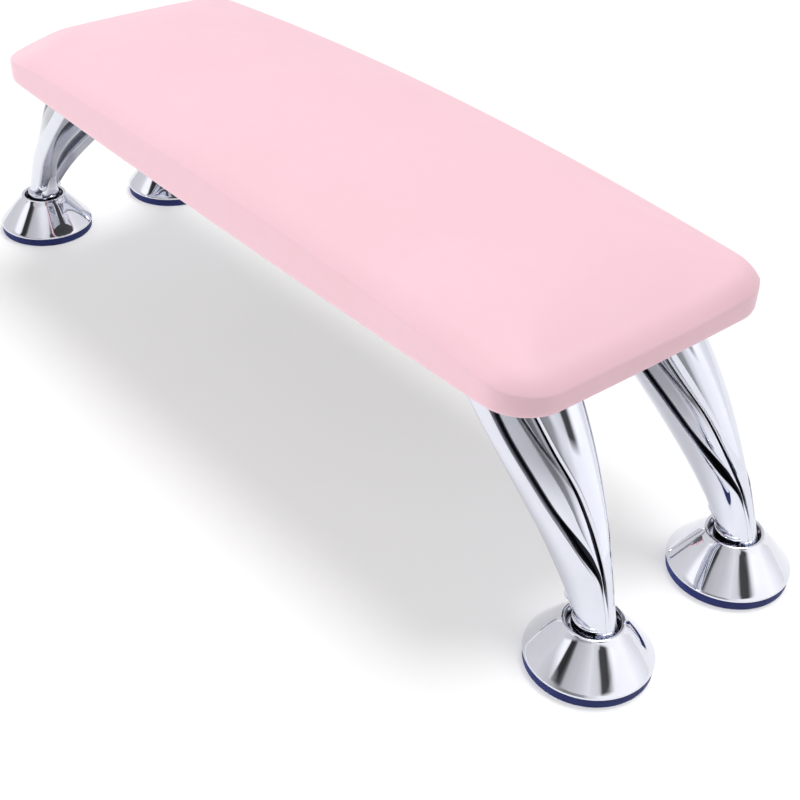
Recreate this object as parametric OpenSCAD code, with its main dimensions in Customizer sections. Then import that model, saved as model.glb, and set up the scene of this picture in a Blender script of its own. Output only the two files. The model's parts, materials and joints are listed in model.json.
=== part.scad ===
// Manicure hand rest: a leather-covered padded board on four splayed die-cast legs with levelling feet.
// Sizes are in millimetres. X runs along the pad, Z is up, and the origin is on the table under its middle.

/* [Pad] */
// Length of the pad over its leather
pad_l = 380; // [320:1:460]
// Width of the pad over its leather
pad_w = 134; // [126:1:170]
// Radius of the pad's corners seen from above
corner_r = 18; // [14:0.5:26]
// How far the long sides bow out at mid-length
side_bow = 1.1; // [0:0.1:3]
// How far the short ends bow out at mid-width
end_bow = 0.7; // [0:0.1:3]
// Height of the pad's underside above the table
underside_h = 106; // [96:1:130]
// Height of the upright side face at the ends of the pad
side_h = 7.2; // [6.5:0.1:10]
// Radius of the soft edge between side and top
edge_r = 10; // [6:0.5:12]
// How much thicker the pad is at mid-length than at its ends
arch = 7.2; // [0:0.1:12]
// How far the top crowns above its edges
crown = 4; // [1:0.1:8]

/* [Upholstery] */
// Thickness of the leather cover
leather_t = 1; // [0.8:0.1:1.4]
// Width of the leather turned in under the board
fold_w = 12; // [11.5:0.1:12.5]
// Thickness of the plywood board
board_t = 7.5; // [6:0.1:8]
// Thickness of the cloth lining under the board
lining_t = 0.6; // [0.4:0.1:1]
// How far the lining's edge lies in from the pad's edge
lining_inset = 7; // [5:0.5:9]
// Gap that is left where the cover goes round the foam and board
cover_gap = 0.3; // [0.2:0.05:0.4]

/* [Staples] */
// Width of a staple's crown
staple_w = 10; // [8:0.5:12]
// Thickness of the staple wire
wire_t = 0.7; // [0.5:0.1:1]
// Width of the staple wire's flat
wire_w = 1.2; // [0.9:0.1:1.4]
// Length of a staple's prongs
prong_l = 6; // [4:0.5:7]
// Largest distance from one staple to the next
staple_pitch = 34; // [24:1:50]
// How far the side staples lie in from the lining's edge
staple_inset = 3.5; // [3:0.1:5]
// Gap between the end staples and the leg plates
staple_gap = 0.5; // [0.3:0.1:0.6]

/* [Leg] */
// How far the foot stands out past the front of the leg's root
leg_reach = 44.8; // [36:0.1:60]
// How far the foot stands out sideways past the middle of the leg's root
leg_lean = 6; // [2:0.1:9]
// Distance from the pad's end to the front of the leg's root
root_inset = 12.1; // [12:0.1:24]
// Distance from the pad's long edge to the foot's axis
leg_inset = 25.8; // [24.5:0.1:32]
// Length of the leg's root along the pad
root_l = 50.4; // [44:0.1:56]
// Width of the leg's root
root_w = 34.6; // [30:0.1:37]
// Length of the neck's oval above the foot
neck_l = 19; // [17.5:0.1:21]
// Width of the neck's oval above the foot
neck_w = 14.4; // [13.6:0.1:16]
// Angle by which the upper sections are turned towards the pad's middle
section_turn = 5.8; // [0:0.1:12]
// Depth of the slits between the strands
slit_d = 3.4; // [1:0.1:3.6]
// Width of the slits between the strands
slit_w = 1.8; // [1:0.1:2.4]
// How far the middle strands lie below the blades beside them
strand_sink = 1.1; // [0:0.1:1.8]
// Depth of the two shallow folds beside the ridge of the front blade
fold_d = 0.9; // [0:0.1:1.4]
// Width of the flat land round the hollow
land_w = 5; // [3.5:0.1:6]
// Thickness of the casting in front of the hollow
spine_t = 8; // [6.5:0.1:10]
// Radius of the two nubs at the bottom of the hollow
nub_r = 2.4; // [1.5:0.1:2.8]

/* [Leg plate] */
// How far the plate stands out in front of the leg's root
plate_front = 3; // [2:0.1:5]
// How far the plate reaches out behind the leg's root
plate_tab = 12.6; // [12:0.1:20]
// Width of the mounting plate
plate_w = 44; // [42:0.5:48]
// Thickness of the mounting plate
plate_t = 3; // [2.5:0.1:4]
// Radius of the plate's corners
plate_r = 6; // [3:0.5:8]
// Distance from the plate's front and rear edges to its screws
screw_edge = 6.5; // [5:0.1:7]
// Distance from the plate's side edges to its screws
screw_side = 5; // [5:0.1:5.4]
// Diameter of the screw's shank
screw_d = 4; // [3:0.1:4.4]
// Diameter of the screw's head
screw_head_d = 8; // [7:0.1:9]
// Height of the screw's head
screw_head_h = 2.4; // [2:0.1:3]
// How far the screw goes into the board
screw_bite = 6; // [4:0.1:6]
// Radial room round a screw in the plate's hole
screw_play = 0.4; // [0.2:0.05:0.6]

/* [Foot] */
// Diameter of the cup at its skirt
cup_d = 50.2; // [46:0.1:56]
// Diameter of the cup at its lip
lip_d = 24.4; // [23.6:0.1:27]
// Height of the cup's lip above the table
lip_h = 21.1; // [20:0.1:24]
// Height of the upright edge at the bottom of the skirt
skirt_edge = 1; // [0.5:0.1:1.6]
// How far the skirt bulges out of a straight cone
skirt_bulge = 0.5; // [0:0.05:1]
// Radius of the rounding on the lip
lip_r = 0.9; // [0.5:0.05:1]
// Depth of the recess that the leg's collar stands in
recess_d = 5.5; // [4:0.1:6.5]
// Thickness of the recess's floor
floor_t = 3; // [2:0.1:4]
// Wall of the cup
cup_wall = 2; // [1.5:0.1:2.6]
// How far the rubber sole stands in from the cup's rim
sole_inset = 0.35; // [0.3:0.05:1]
// Thickness of the sole below the cup
sole_t = 4.2; // [3:0.1:5]
// Height of the sole's rim inside the cup
sole_rim_h = 2.4; // [1:0.1:3]
// Width of the sole's rim inside the cup
sole_rim_w = 2; // [1.5:0.1:3]

/* [Levelling stud] */
// Diameter of the levelling stud
stud_d = 8; // [7:0.1:8.4]
// Thread pitch of the stud, which is the lift for one turn
stud_pitch = 1.25; // [1:0.05:1.5]
// Turns that the foot can be screwed out
stud_turns = 4; // [2:1:5]
// Length of thread that stays in the leg when the foot is screwed right out
stud_hold = 8.2; // [7:0.1:9]
// Size of the stud's hexagon head across its flats
hex_af = 13; // [11:0.1:14]
// Height of the stud's hexagon head
hex_h = 5.3; // [4:0.1:5.6]
// Diameter of the washer on the recess's floor
washer_d = 19; // [17.4:0.1:20]
// Thickness of the washer
washer_t = 1.2; // [0.8:0.1:1.6]
// Radial room round the stud in the washer
washer_play = 0.35; // [0.2:0.05:0.6]
// Diameter of the round collar at the bottom of the leg
collar_d = 16.8; // [16:0.1:17.4]
// Height of the collar
collar_h = 6.2; // [5.5:0.1:7]
// Size of the broken edges of the collar
collar_edge = 0.5; // [0.2:0.05:1]
// How far below the collar's top the leg's flowing body has its neck
neck_sink = 1; // [0.5:0.1:2]
// Radial running room of the stud in the leg and the cup
run_gap = 0.05; // [0.02:0.01:0.08]
// Room above the stud's tip in the leg
tip_gap = 1; // [0.5:0.1:1.5]

/* [Hidden] */
$fn = 64;
// Overrun of every cut past the face that it opens
over = 0.5;

// Heights of the pad's layers
board_z = underside_h + leather_t + cover_gap;
foam_z = board_z + board_t;
plate_z = underside_h - lining_t - plate_t;

// Heights in the foot from the table up, and the sole's diameter
floor_top = lip_h - recess_d;
floor_low = floor_top - floor_t;
collar_z = floor_top + washer_t;
neck_z = collar_z + collar_h - neck_sink;
stud_out = stud_pitch * stud_turns;
stud_tip = collar_z + stud_hold + stud_out;
bore_top = stud_tip + tip_gap;
sole_d = cup_d - 2 * sole_inset;

// Places of the feet
foot_x = pad_l / 2 - root_inset + leg_reach - neck_l / 2;
foot_y = pad_w / 2 - leg_inset;

// Steps round the pad: along a long side, along an end and round a corner
long_steps = 12;
end_steps = 4;
corner_steps = 5;
// Shares of the way from the side to the middle at which the top has a ring
top_ring_shares = [0.14, 0.34, 0.6, 0.85];
// Angles at which the soft edge has a ring
edge_angles = [0, 22, 45, 68, 90];
// The cover's bottom edge is rounded by this share of the side face
bottom_edge_share = 0.16;

// One point of the pad's outline: corner k of four, with the outline drawn in by d
function corner_point(d, sx, sy, angle) = [
  sx * (pad_l / 2 - corner_r) + (corner_r - d) * cos(angle),
  sy * (pad_w / 2 - corner_r) + (corner_r - d) * sin(angle)
];
function corner_arc(d, sx, sy, start) = [
  for (i = [0 : corner_steps]) corner_point(d, sx, sy, start + 90 * i / corner_steps)
];
// Points between the last point of one corner and the first of the next
function between(a, b, steps) = [for (i = [1 : steps - 1]) a + (b - a) * i / steps];
function straight_outline(d) = let (
  a = corner_arc(d, 1, 1, 0),
  b = corner_arc(d, -1, 1, 90),
  c = corner_arc(d, -1, -1, 180),
  e = corner_arc(d, 1, -1, 270)
) concat(
  a, between(a[corner_steps], b[0], long_steps),
  b, between(b[corner_steps], c[0], end_steps),
  c, between(c[corner_steps], e[0], long_steps),
  e, between(e[corner_steps], a[0], end_steps)
);
// The outline with its sides bowed out
function bowed(p) = let (
  u = 2 * p[0] / pad_l,
  v = 2 * p[1] / pad_w
) [p[0] + u * end_bow * (1 - v * v), p[1] + v * side_bow * (1 - u * u)];
function pad_outline(d) = [for (p = straight_outline(d)) bowed(p)];

// How far the pad's thickness grows towards mid-length
function arch_at(p) = let (u = min(1, abs(2 * p[0] / pad_l))) arch * (1 - u * u);

// One ring at height h above the underside, lifted by the arch
function flat_ring(d, z) = [for (p = pad_outline(d)) [p[0], p[1], z]];
function arched_ring(d, z) = [for (p = pad_outline(d)) [p[0], p[1], z + arch_at(p)]];
// The rings of the soft edge, on a form that lies d inside the leather's outside
function edge_rings(d) = [
  for (a = edge_angles)
    arched_ring(d + (edge_r - d) * (1 - cos(a)), underside_h + side_h + (edge_r - d) * sin(a))
];
// The rings of the crowned top, each a smaller copy of the last edge ring
function top_rings(d) = [
  for (s = top_ring_shares) [
    for (p = pad_outline(edge_r)) let (q = p * (1 - s))
      [q[0], q[1], underside_h + side_h + edge_r - d + arch_at(q) + crown * s * (2 - s)]
  ]
];
function top_middle(d) = [0, 0, underside_h + side_h + edge_r - d + arch + crown];

// Two triangles for each step between two rings of n points
function band(n, k) = [
  for (i = [0 : n - 1]) let (j = (i + 1) % n)
    each [[k + i, k + n + j, k + j], [k + i, k + n + i, k + n + j]]
];
// A closed solid from rings that run up its outside, with a middle point at each end
module rings_solid(first, rings, last) {
  n = len(rings[0]);
  m = len(rings);
  points = concat([for (r = rings) each r], [first, last]);
  bottom = [for (i = [0 : n - 1]) [i, (i + 1) % n, n * m]];
  top = [for (i = [0 : n - 1]) [n * (m - 1) + i, n * m + 1, n * (m - 1) + (i + 1) % n]];
  bands = [for (k = [0 : m - 2]) each band(n, k * n)];
  polyhedron(points = points, faces = concat(bottom, bands, top), convexity = 8);
}
function turned_round(rings) = [for (i = [len(rings) - 1 : -1 : 0]) rings[i]];

// The leather skin: over the crowned top, down the sides and turned in under the board
module leather_cover() {
  roll = side_h * bottom_edge_share;
  inner = concat(turned_round(top_rings(leather_t)), turned_round(edge_rings(leather_t)));
  fold = [
    flat_ring(leather_t, underside_h + leather_t),
    flat_ring(fold_w, underside_h + leather_t),
    flat_ring(fold_w, underside_h),
    flat_ring(roll, underside_h),
    flat_ring(0, underside_h + roll)
  ];
  outer = concat(edge_rings(0), top_rings(0));
  color("pink")
    rings_solid(top_middle(leather_t), concat(inner, fold, outer), top_middle(0));
}

// The foam block, which fills the cover above the board
module foam_core() {
  d = leather_t + cover_gap;
  low = flat_ring(d + cover_gap, foam_z);
  color("ivory")
    rings_solid([0, 0, foam_z], concat([low], edge_rings_over(d, foam_z), top_rings(d)), top_middle(d));
}
// Those rings of the soft edge that lie above a height all the way round
function edge_rings_over(d, z) = [
  for (r = edge_rings(d)) if (min([for (p = r) p[2]]) > z) r
];

// The plywood board, with a pilot hole for each leg screw
module base_board() {
  color("burlywood")
    difference() {
      translate([0, 0, board_z])
        linear_extrude(board_t)
          polygon(pad_outline(leather_t + 2 * cover_gap));
      at_all_corners()
        at_screws()
          translate([0, 0, board_z - over])
            cylinder(h = screw_bite + over + tip_gap, d = screw_d);
    }
}

// The cloth lining that hides the turned-in leather
module bottom_lining() {
  color("dimgray")
    difference() {
      translate([0, 0, underside_h - lining_t])
        linear_extrude(lining_t)
          polygon(pad_outline(lining_inset));
      at_all_corners()
        at_screws()
          translate([0, 0, plate_z])
            cylinder(h = plate_t + lining_t + over, d = screw_d + 2 * screw_play);
    }
}

// One staple driven up through lining and leather into the board
module staple() {
  translate([-staple_w / 2, -wire_w / 2, -wire_t])
    cube([staple_w, wire_w, wire_t]);
  for (s = [0, 1])
    translate([s * (staple_w - wire_t) - staple_w / 2, -wire_w / 2, -wire_t])
      cube([wire_t, wire_w, prong_l + wire_t]);
}
// A row of staples along one side, from -half to half
module staple_row(half, off, turn) {
  count = ceil(2 * half / staple_pitch);
  rotate([0, 0, turn])
    for (i = [0 : count])
      translate([-half + 2 * half * i / count, -off, underside_h - lining_t])
        staple();
}
// The staples: rows at the sides stop at the leg plates, rows at the ends pass in front of them
module cover_staples() {
  side_off = pad_w / 2 - lining_inset - staple_inset;
  plate_rear = foot_x + plate_u - plate_l / 2;
  end_off = plate_rear + plate_l + staple_gap + wire_w / 2;
  end_half = pad_w / 2 - corner_r - staple_w / 2;
  color("silver")
    for (s = [0, 1]) {
      staple_row(plate_rear - staple_w, side_off, 180 * s);
      staple_row(end_half, end_off, 90 + 180 * s);
    }
}

// Places a child that is modelled at the right rear foot at one of the four corners
module at_corner(sx, sy) {
  mirror([sx < 0 ? 1 : 0, 0, 0])
    mirror([0, sy < 0 ? 1 : 0, 0])
      translate([foot_x, foot_y, 0])
        children();
}
module at_all_corners() {
  for (sx = [-1, 1], sy = [-1, 1])
    at_corner(sx, sy)
      children();
}

// The leg is lofted through level sections. Share t runs from 0 at the neck to 1 at the pad's underside,
// u is measured from the foot's axis towards the pad's end and v towards its long edge.
leg_h = underside_h - neck_z;
leg_steps = 19;
// Shares of the reach by which the front line has drawn back at its four control points
front_line_shares = [0, 0.16, 0.44, 1];
// Shares of the way back to the root's rear that the rear line has gone at its four control points
rear_line_shares = [0, 0.23, 0.66, 1];
// Shares of the growth from neck width to root width at four control points
width_shares = [0, -0.05, 0.99, 1];
// The rear corners of a section lie at this angle round its oval
rear_angle = 125;
// Share of the height over which the sections turn
turn_share = 0.5;
// Shares of the height at which the slits' angles are given
slit_knot_shares = [-0.1, 0, 0.22, 0.34, 0.47, 0.6, 0.75, 1];
// Angles of the slits from the front to either side: next to the rear blades and to the front one
rear_slit = [21, 21, 25, 50, 68, 78, 86, 90];
front_slit = [11, 11, 17, 24, 30, 35, 45, 54];
// Shares of the way across a strand at which it has a point
strand_shares = [0.14, 0.38, 0.62, 0.86];
// Shares of the front blade's half at which it has a point, and the share of the fold that it has there
blade_shares = [-1, -0.62, -0.3, 0, 0.3, 0.62, 1];
fold_shares = [0, 0, 1, 0, 1, 0, 0];
// Share of the height at which the folds start
fold_start_share = 0.66;
// Points along a rear blade
rear_points = 5;
// Points across the hollow, and how square its bottom and its outline are
hollow_points = 9;
hollow_power = 0.62;
leaf_power = 0.6;
leaf_skew = 1.25;
// Shares of the height between which the hollow is open
hollow_low_share = 0.2;
hollow_high_share = 0.94;
// Shares of the rear face that the hollow's points span at the neck and at the hollow's ends
neck_span_share = 0.8;
tip_span_share = 0.2;
// Share of the slits' depth that is left in the seam at the neck
seam_share = 0.22;
// Shares of the height between which the seam opens to a full slit
seam_end_share = 0.12;
slit_full_share = 0.3;
// A strand narrower than this angle sinks towards the bottom of its slits
strand_angle = 16;
// Share of the height at which the nubs sit in the rear face
nub_share = 0.085;

function bezier(c, t) =
  c[0] * pow(1 - t, 3) + 3 * c[1] * t * pow(1 - t, 2) + 3 * c[2] * t * t * (1 - t) + c[3] * pow(t, 3);
// 0 up to a, 1 from b on, and a smooth rise between them
function rise(t, a, b) = let (x = max(0, min(1, (t - a) / (b - a)))) x * x * (3 - 2 * x);
// A smooth curve through values given at knots
function span_of(t, knots, i = 0) =
  (i < len(knots) - 2 && t > knots[i + 1]) ? span_of(t, knots, i + 1) : i;
function slope(knots, values, i) = let (
  a = max(0, i - 1),
  b = min(len(knots) - 1, i + 1)
) (values[b] - values[a]) / (knots[b] - knots[a]);
function curve_at(t, knots, values) = let (
  i = span_of(t, knots),
  w = knots[i + 1] - knots[i],
  x = (t - knots[i]) / w
) values[i] * (1 + 2 * x) * pow(1 - x, 2) + slope(knots, values, i) * w * x * pow(1 - x, 2)
  + values[i + 1] * x * x * (3 - 2 * x) + slope(knots, values, i + 1) * w * x * x * (x - 1);

function front_u(t) = neck_l / 2 - leg_reach * bezier(front_line_shares, t);
function neck_rear() = neck_l / 2 * (1 - 2 * sin(rear_angle / 2) * sin(rear_angle / 2));
function rear_u(t) = let (
  root_rear = neck_l / 2 - leg_reach - root_l
) neck_rear() + (root_rear - neck_rear()) * bezier(rear_line_shares, t);
function half_long(t) = (front_u(t) - rear_u(t)) / (1 - cos(rear_angle));
function middle_u(t) = front_u(t) - half_long(t);
function half_wide(t) = neck_w / 2 + (root_w - neck_w) / 2 * bezier(width_shares, t);
function slit_depth(t) = slit_d * (seam_share + (1 - seam_share) * rise(t, seam_end_share, slit_full_share));
// A section's points turned about its middle and shifted with the leg's lean
function turned(t, points) = let (
  angle = -section_turn * rise(t, 0, turn_share),
  shift = -leg_lean * bezier(front_line_shares, t)
) [
  for (p = points) let (u = p[0] - middle_u(t))
    [middle_u(t) + u * cos(angle) - p[1] * sin(angle), u * sin(angle) + p[1] * cos(angle) + shift]
];

// A point at an angle round the section's oval, sunk below it by a depth
function oval_point(t, angle, depth) = let (
  a = half_long(t),
  b = half_wide(t),
  n = [cos(angle) / a, sin(angle) / b]
) [middle_u(t) + a * cos(angle), b * sin(angle)] - depth * n / norm(n);
// Half of a slit's width as an angle
function slit_angle(t) = asin(slit_w / 2 / half_wide(t));
// The points of one strand between its two slits, with the slits' bottoms at its ends
function strand(t, from, to) = let (
  d = slit_depth(t),
  crest = min(1, abs(to - from) / strand_angle) * max(0, d - strand_sink)
) concat(
  [oval_point(t, from, d)],
  [for (s = strand_shares) oval_point(t, from + (to - from) * s, d - crest * pow(sin(180 * s), 0.5))],
  [oval_point(t, to, d)]
);
// The points of a rear blade between two angles
function rear_blade(t, from, to) = [
  for (i = [0 : rear_points - 1]) oval_point(t, from + (to - from) * i / (rear_points - 1), 0)
];
// The points of the front blade, which is folded beside its ridge near the top
function front_blade(t, half) = [
  for (i = [0 : len(blade_shares) - 1])
    oval_point(t, half * blade_shares[i], fold_d * fold_shares[i] * rise(t, fold_start_share, 1))
];
// How open the leaf-shaped hollow is, from 0 at its ends to 1 where it is widest
function leaf(t) = let (
  s = (t - hollow_low_share) / (hollow_high_share - hollow_low_share)
) (s <= 0 || s >= 1) ? 0 : pow(sin(180 * pow(s, leaf_skew)), leaf_power);
// The rear face with its hollow, or the round rear of the neck below it
function rear_face(t) = let (
  rear_half = half_wide(t) * sin(rear_angle),
  low = 1 - rise(t, 0, hollow_low_share),
  tip = rear_half * (tip_span_share + (neck_span_share - tip_span_share) * low),
  half = tip + max(0, rear_half - land_w - tip) * leaf(t),
  bulge = half_long(t) * (1 + cos(rear_angle)) * low,
  deep = (front_u(t) - rear_u(t) - spine_t) * leaf(t)
) [
  for (i = [0 : hollow_points]) let (
    angle = 180 * i / hollow_points,
    c = cos(angle)
  ) [rear_u(t) + (deep - bulge) * pow(sin(angle), hollow_power), half * sign(c) * pow(abs(c), hollow_power)]
];
function leg_section(t) = let (
  w = slit_angle(t),
  a = curve_at(t, slit_knot_shares, rear_slit),
  b = curve_at(t, slit_knot_shares, front_slit)
) turned(t, concat(
  rear_blade(t, -rear_angle, -a - w),
  strand(t, -a, -b),
  front_blade(t, b - w),
  strand(t, b, a),
  rear_blade(t, a + w, rear_angle),
  rear_face(t)
));
// The flowing body of the leg, from inside its collar to inside its plate
module leg_body() {
  low = -(collar_h / 2) / leg_h;
  high = (plate_z + plate_t / 2 - neck_z) / leg_h;
  sections = [
    for (i = [0 : leg_steps]) let (t = low + (high - low) * i / leg_steps)
      [for (p = leg_section(t)) [p[0], p[1], neck_z + leg_h * t]]
  ];
  n = len(sections[0]);
  caps = [[for (i = [n - 1 : -1 : 0]) i], [for (i = [0 : n - 1]) n * leg_steps + i]];
  bands = [for (k = [0 : leg_steps - 1]) each band(n, k * n)];
  polyhedron(points = [for (s = sections) each s], faces = concat(reversed(caps), bands), convexity = 8);
}
function reversed(faces) = [for (f = faces) [for (i = [len(f) - 1 : -1 : 0]) f[i]]];

// The plate's length and middle, measured from the foot's axis, and places in it
plate_l = plate_front + root_l + plate_tab;
plate_u = neck_l / 2 - leg_reach + plate_front - plate_l / 2;
module at_screws() {
  for (a = [-1, 1], b = [-1, 1])
    translate([plate_u + a * (plate_l / 2 - screw_edge), b * (plate_w / 2 - screw_side) - leg_lean, 0])
      children();
}
module plate_outline() {
  hull()
    for (a = [-1, 1], b = [-1, 1])
      translate([plate_u + a * (plate_l / 2 - plate_r), b * (plate_w / 2 - plate_r) - leg_lean])
        circle(plate_r);
}
// The collar that stands in the foot's recess, with its edges broken
module collar() {
  rotate_extrude()
    polygon([
      [0, collar_z],
      [collar_d / 2 - collar_edge, collar_z],
      [collar_d / 2, collar_z + collar_edge],
      [collar_d / 2, collar_z + collar_h - collar_edge],
      [collar_d / 2 - collar_edge, collar_z + collar_h],
      [0, collar_z + collar_h]
    ]);
}
// The two round nubs low on the rear face
module nubs() {
  v = half_wide(nub_share) * sin(rear_angle) - nub_r;
  for (s = [-1, 1])
    translate([rear_u(nub_share), s * v, neck_z + leg_h * nub_share]) {
      sphere(nub_r);
      rotate([0, 90, 0])
        cylinder(h = 2 * nub_r, r = nub_r);
    }
}
// The whole casting at the right rear corner
module leg() {
  difference() {
    union() {
      nubs();
      leg_body();
      translate([0, 0, plate_z])
        linear_extrude(plate_t)
          plate_outline();
      collar();
    }
    translate([0, 0, collar_z - over])
      cylinder(h = bore_top - collar_z + over, d = stud_d);
    at_screws()
      translate([0, 0, plate_z - over])
        cylinder(h = plate_t + 2 * over, d = screw_d + 2 * screw_play);
  }
}
module leg_front_right() {
  color("silver") at_corner(1, -1) leg();
}
module leg_rear_right() {
  color("silver") at_corner(1, 1) leg();
}
module leg_front_left() {
  color("silver") at_corner(-1, -1) leg();
}
module leg_rear_left() {
  color("silver") at_corner(-1, 1) leg();
}

// The four screws of one leg, with pan heads under the plate and points in the board
module leg_screw_set() {
  tip = board_z + screw_bite;
  r = screw_d / 2 - run_gap;
  head_r = screw_head_d / 2;
  at_screws()
    rotate_extrude()
      polygon([
        [0, plate_z - screw_head_h],
        [head_r / 2, plate_z - screw_head_h],
        [head_r, plate_z - screw_head_h / 2],
        [head_r, plate_z],
        [r, plate_z],
        [r, tip - screw_d],
        [0, tip]
      ]);
}
module leg_screws_front_right() {
  color("gray") at_corner(1, -1) leg_screw_set();
}
module leg_screws_rear_right() {
  color("gray") at_corner(1, 1) leg_screw_set();
}
module leg_screws_front_left() {
  color("gray") at_corner(-1, -1) leg_screw_set();
}
module leg_screws_rear_left() {
  color("gray") at_corner(-1, 1) leg_screw_set();
}

// The washer between the collar and the recess's floor
module washer() {
  translate([0, 0, floor_top])
    difference() {
      cylinder(h = washer_t, d = washer_d);
      translate([0, 0, -over])
        cylinder(h = washer_t + 2 * over, d = stud_d + 2 * washer_play);
    }
}
module foot_washer_front_right() {
  color("lightgray") at_corner(1, -1) washer();
}
module foot_washer_rear_right() {
  color("lightgray") at_corner(1, 1) washer();
}
module foot_washer_front_left() {
  color("lightgray") at_corner(-1, -1) washer();
}
module foot_washer_rear_left() {
  color("lightgray") at_corner(-1, 1) washer();
}

// The cup: a cone with a round lip, a recess on top and a hollow below
recess_r = lip_d / 2 - 2 * lip_r;
skirt_steps = 6;
skirt_top = sole_t + skirt_edge;
cone_top = lip_h - lip_r;
function skirt_point(s) = [
  cup_d / 2 + (lip_d - cup_d) / 2 * s + skirt_bulge * sin(180 * s),
  skirt_top + (cone_top - skirt_top) * s
];
cone_slope = (cup_d - lip_d) / 2 / (cone_top - skirt_top);
cavity_top_r = cup_d / 2 - cup_wall - cone_slope * (floor_low - sole_t);
module cup() {
  lip = [for (a = [20 : 40 : 160])
    [lip_d / 2 - lip_r + lip_r * cos(a), cone_top + lip_r * sin(a)]];
  outside = [for (i = [0 : skirt_steps]) skirt_point(i / skirt_steps)];
  difference() {
    rotate_extrude()
      polygon(concat(
        [[0, sole_t], [cup_d / 2, sole_t]], outside, lip,
        [[recess_r, cone_top], [recess_r, floor_top], [0, floor_top]]
      ));
    rotate_extrude()
      polygon([
        [0, sole_t - over],
        [cup_d / 2 - cup_wall, sole_t - over],
        [cup_d / 2 - cup_wall, sole_t],
        [cavity_top_r, floor_low],
        [0, floor_low]
      ]);
    cylinder(h = lip_h, d = stud_d);
  }
}
module foot_cup_front_right() {
  color("silver") at_corner(1, -1) cup();
}
module foot_cup_rear_right() {
  color("silver") at_corner(1, 1) cup();
}
module foot_cup_front_left() {
  color("silver") at_corner(-1, -1) cup();
}
module foot_cup_rear_left() {
  color("silver") at_corner(-1, 1) cup();
}

// The levelling stud: a hexagon head under the floor and a shank up into the leg
module stud() {
  across_corners = hex_af / cos(30);
  r = stud_d / 2 - run_gap;
  translate([0, 0, floor_low - hex_h])
    cylinder(h = hex_h, d = across_corners, $fn = 6);
  rotate_extrude()
    polygon([
      [0, floor_low - hex_h / 2],
      [r, floor_low - hex_h / 2],
      [r, stud_tip - stud_pitch],
      [r - stud_pitch, stud_tip],
      [0, stud_tip]
    ]);
}
module foot_stud_front_right() {
  color("darkgray") at_corner(1, -1) stud();
}
module foot_stud_rear_right() {
  color("darkgray") at_corner(1, 1) stud();
}
module foot_stud_front_left() {
  color("darkgray") at_corner(-1, -1) stud();
}
module foot_stud_rear_left() {
  color("darkgray") at_corner(-1, 1) stud();
}

// The rubber sole, with a rim that goes up inside the cup
module sole() {
  rim_r = cup_d / 2 - cup_wall - cone_slope * sole_rim_h - run_gap;
  rotate_extrude()
    polygon([
      [0, 0],
      [sole_d / 2 - lip_r, 0],
      [sole_d / 2, lip_r],
      [sole_d / 2, sole_t],
      [rim_r, sole_t],
      [rim_r, sole_t + sole_rim_h],
      [rim_r - sole_rim_w, sole_t + sole_rim_h],
      [rim_r - sole_rim_w, sole_t],
      [0, sole_t]
    ]);
}
module foot_sole_front_right() {
  color("midnightblue") at_corner(1, -1) sole();
}
module foot_sole_rear_right() {
  color("midnightblue") at_corner(1, 1) sole();
}
module foot_sole_front_left() {
  color("midnightblue") at_corner(-1, -1) sole();
}
module foot_sole_rear_left() {
  color("midnightblue") at_corner(-1, 1) sole();
}

leather_cover();
foam_core();
base_board();
bottom_lining();
cover_staples();
leg_front_right();
leg_rear_right();
leg_front_left();
leg_rear_left();
leg_screws_front_right();
leg_screws_rear_right();
leg_screws_front_left();
leg_screws_rear_left();
foot_washer_front_right();
foot_washer_rear_right();
foot_washer_front_left();
foot_washer_rear_left();
foot_cup_front_right();
foot_cup_rear_right();
foot_cup_front_left();
foot_cup_rear_left();
foot_stud_front_right();
foot_stud_rear_right();
foot_stud_front_left();
foot_stud_rear_left();
foot_sole_front_right();
foot_sole_rear_right();
foot_sole_front_left();
foot_sole_rear_left();
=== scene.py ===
"""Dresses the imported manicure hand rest: padded leather, chromed legs, feet, materials, light and camera.
Units are metres, +X is the pad's right end, +Y its rear side, and the table is at height 0."""
import json
import math

import bmesh
import bpy
from mathutils import Matrix, Vector


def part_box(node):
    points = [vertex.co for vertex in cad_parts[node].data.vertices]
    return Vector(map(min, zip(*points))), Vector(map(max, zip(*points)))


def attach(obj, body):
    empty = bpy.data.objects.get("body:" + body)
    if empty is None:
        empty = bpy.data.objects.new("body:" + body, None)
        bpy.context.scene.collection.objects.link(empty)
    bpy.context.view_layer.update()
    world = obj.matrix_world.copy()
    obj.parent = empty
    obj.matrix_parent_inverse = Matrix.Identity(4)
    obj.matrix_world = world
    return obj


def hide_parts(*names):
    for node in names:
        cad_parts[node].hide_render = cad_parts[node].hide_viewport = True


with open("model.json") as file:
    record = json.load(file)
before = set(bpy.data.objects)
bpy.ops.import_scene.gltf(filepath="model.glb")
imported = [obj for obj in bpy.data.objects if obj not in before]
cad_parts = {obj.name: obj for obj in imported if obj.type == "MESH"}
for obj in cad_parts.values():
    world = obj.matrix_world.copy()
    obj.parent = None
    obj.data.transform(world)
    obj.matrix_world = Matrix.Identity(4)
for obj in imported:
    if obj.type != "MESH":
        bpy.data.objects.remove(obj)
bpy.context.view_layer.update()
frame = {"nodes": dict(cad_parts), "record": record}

MM = 0.001

# Camera, solved from the four feet and the outline of the pad
IMAGE_PIXELS = 800
FOCAL_PIXELS = 1342.5
SENSOR_MM = 36.0
CAMERA_AZIMUTH = 48.76
CAMERA_ELEVATION = 35.45
CAMERA_ROLL = 2.494
CAMERA_DISTANCE = 0.81288
CAMERA_TARGET = Vector((-0.06382, 0.10184, -0.09917))
CLIP_START, CLIP_END = 0.02, 50


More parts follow.
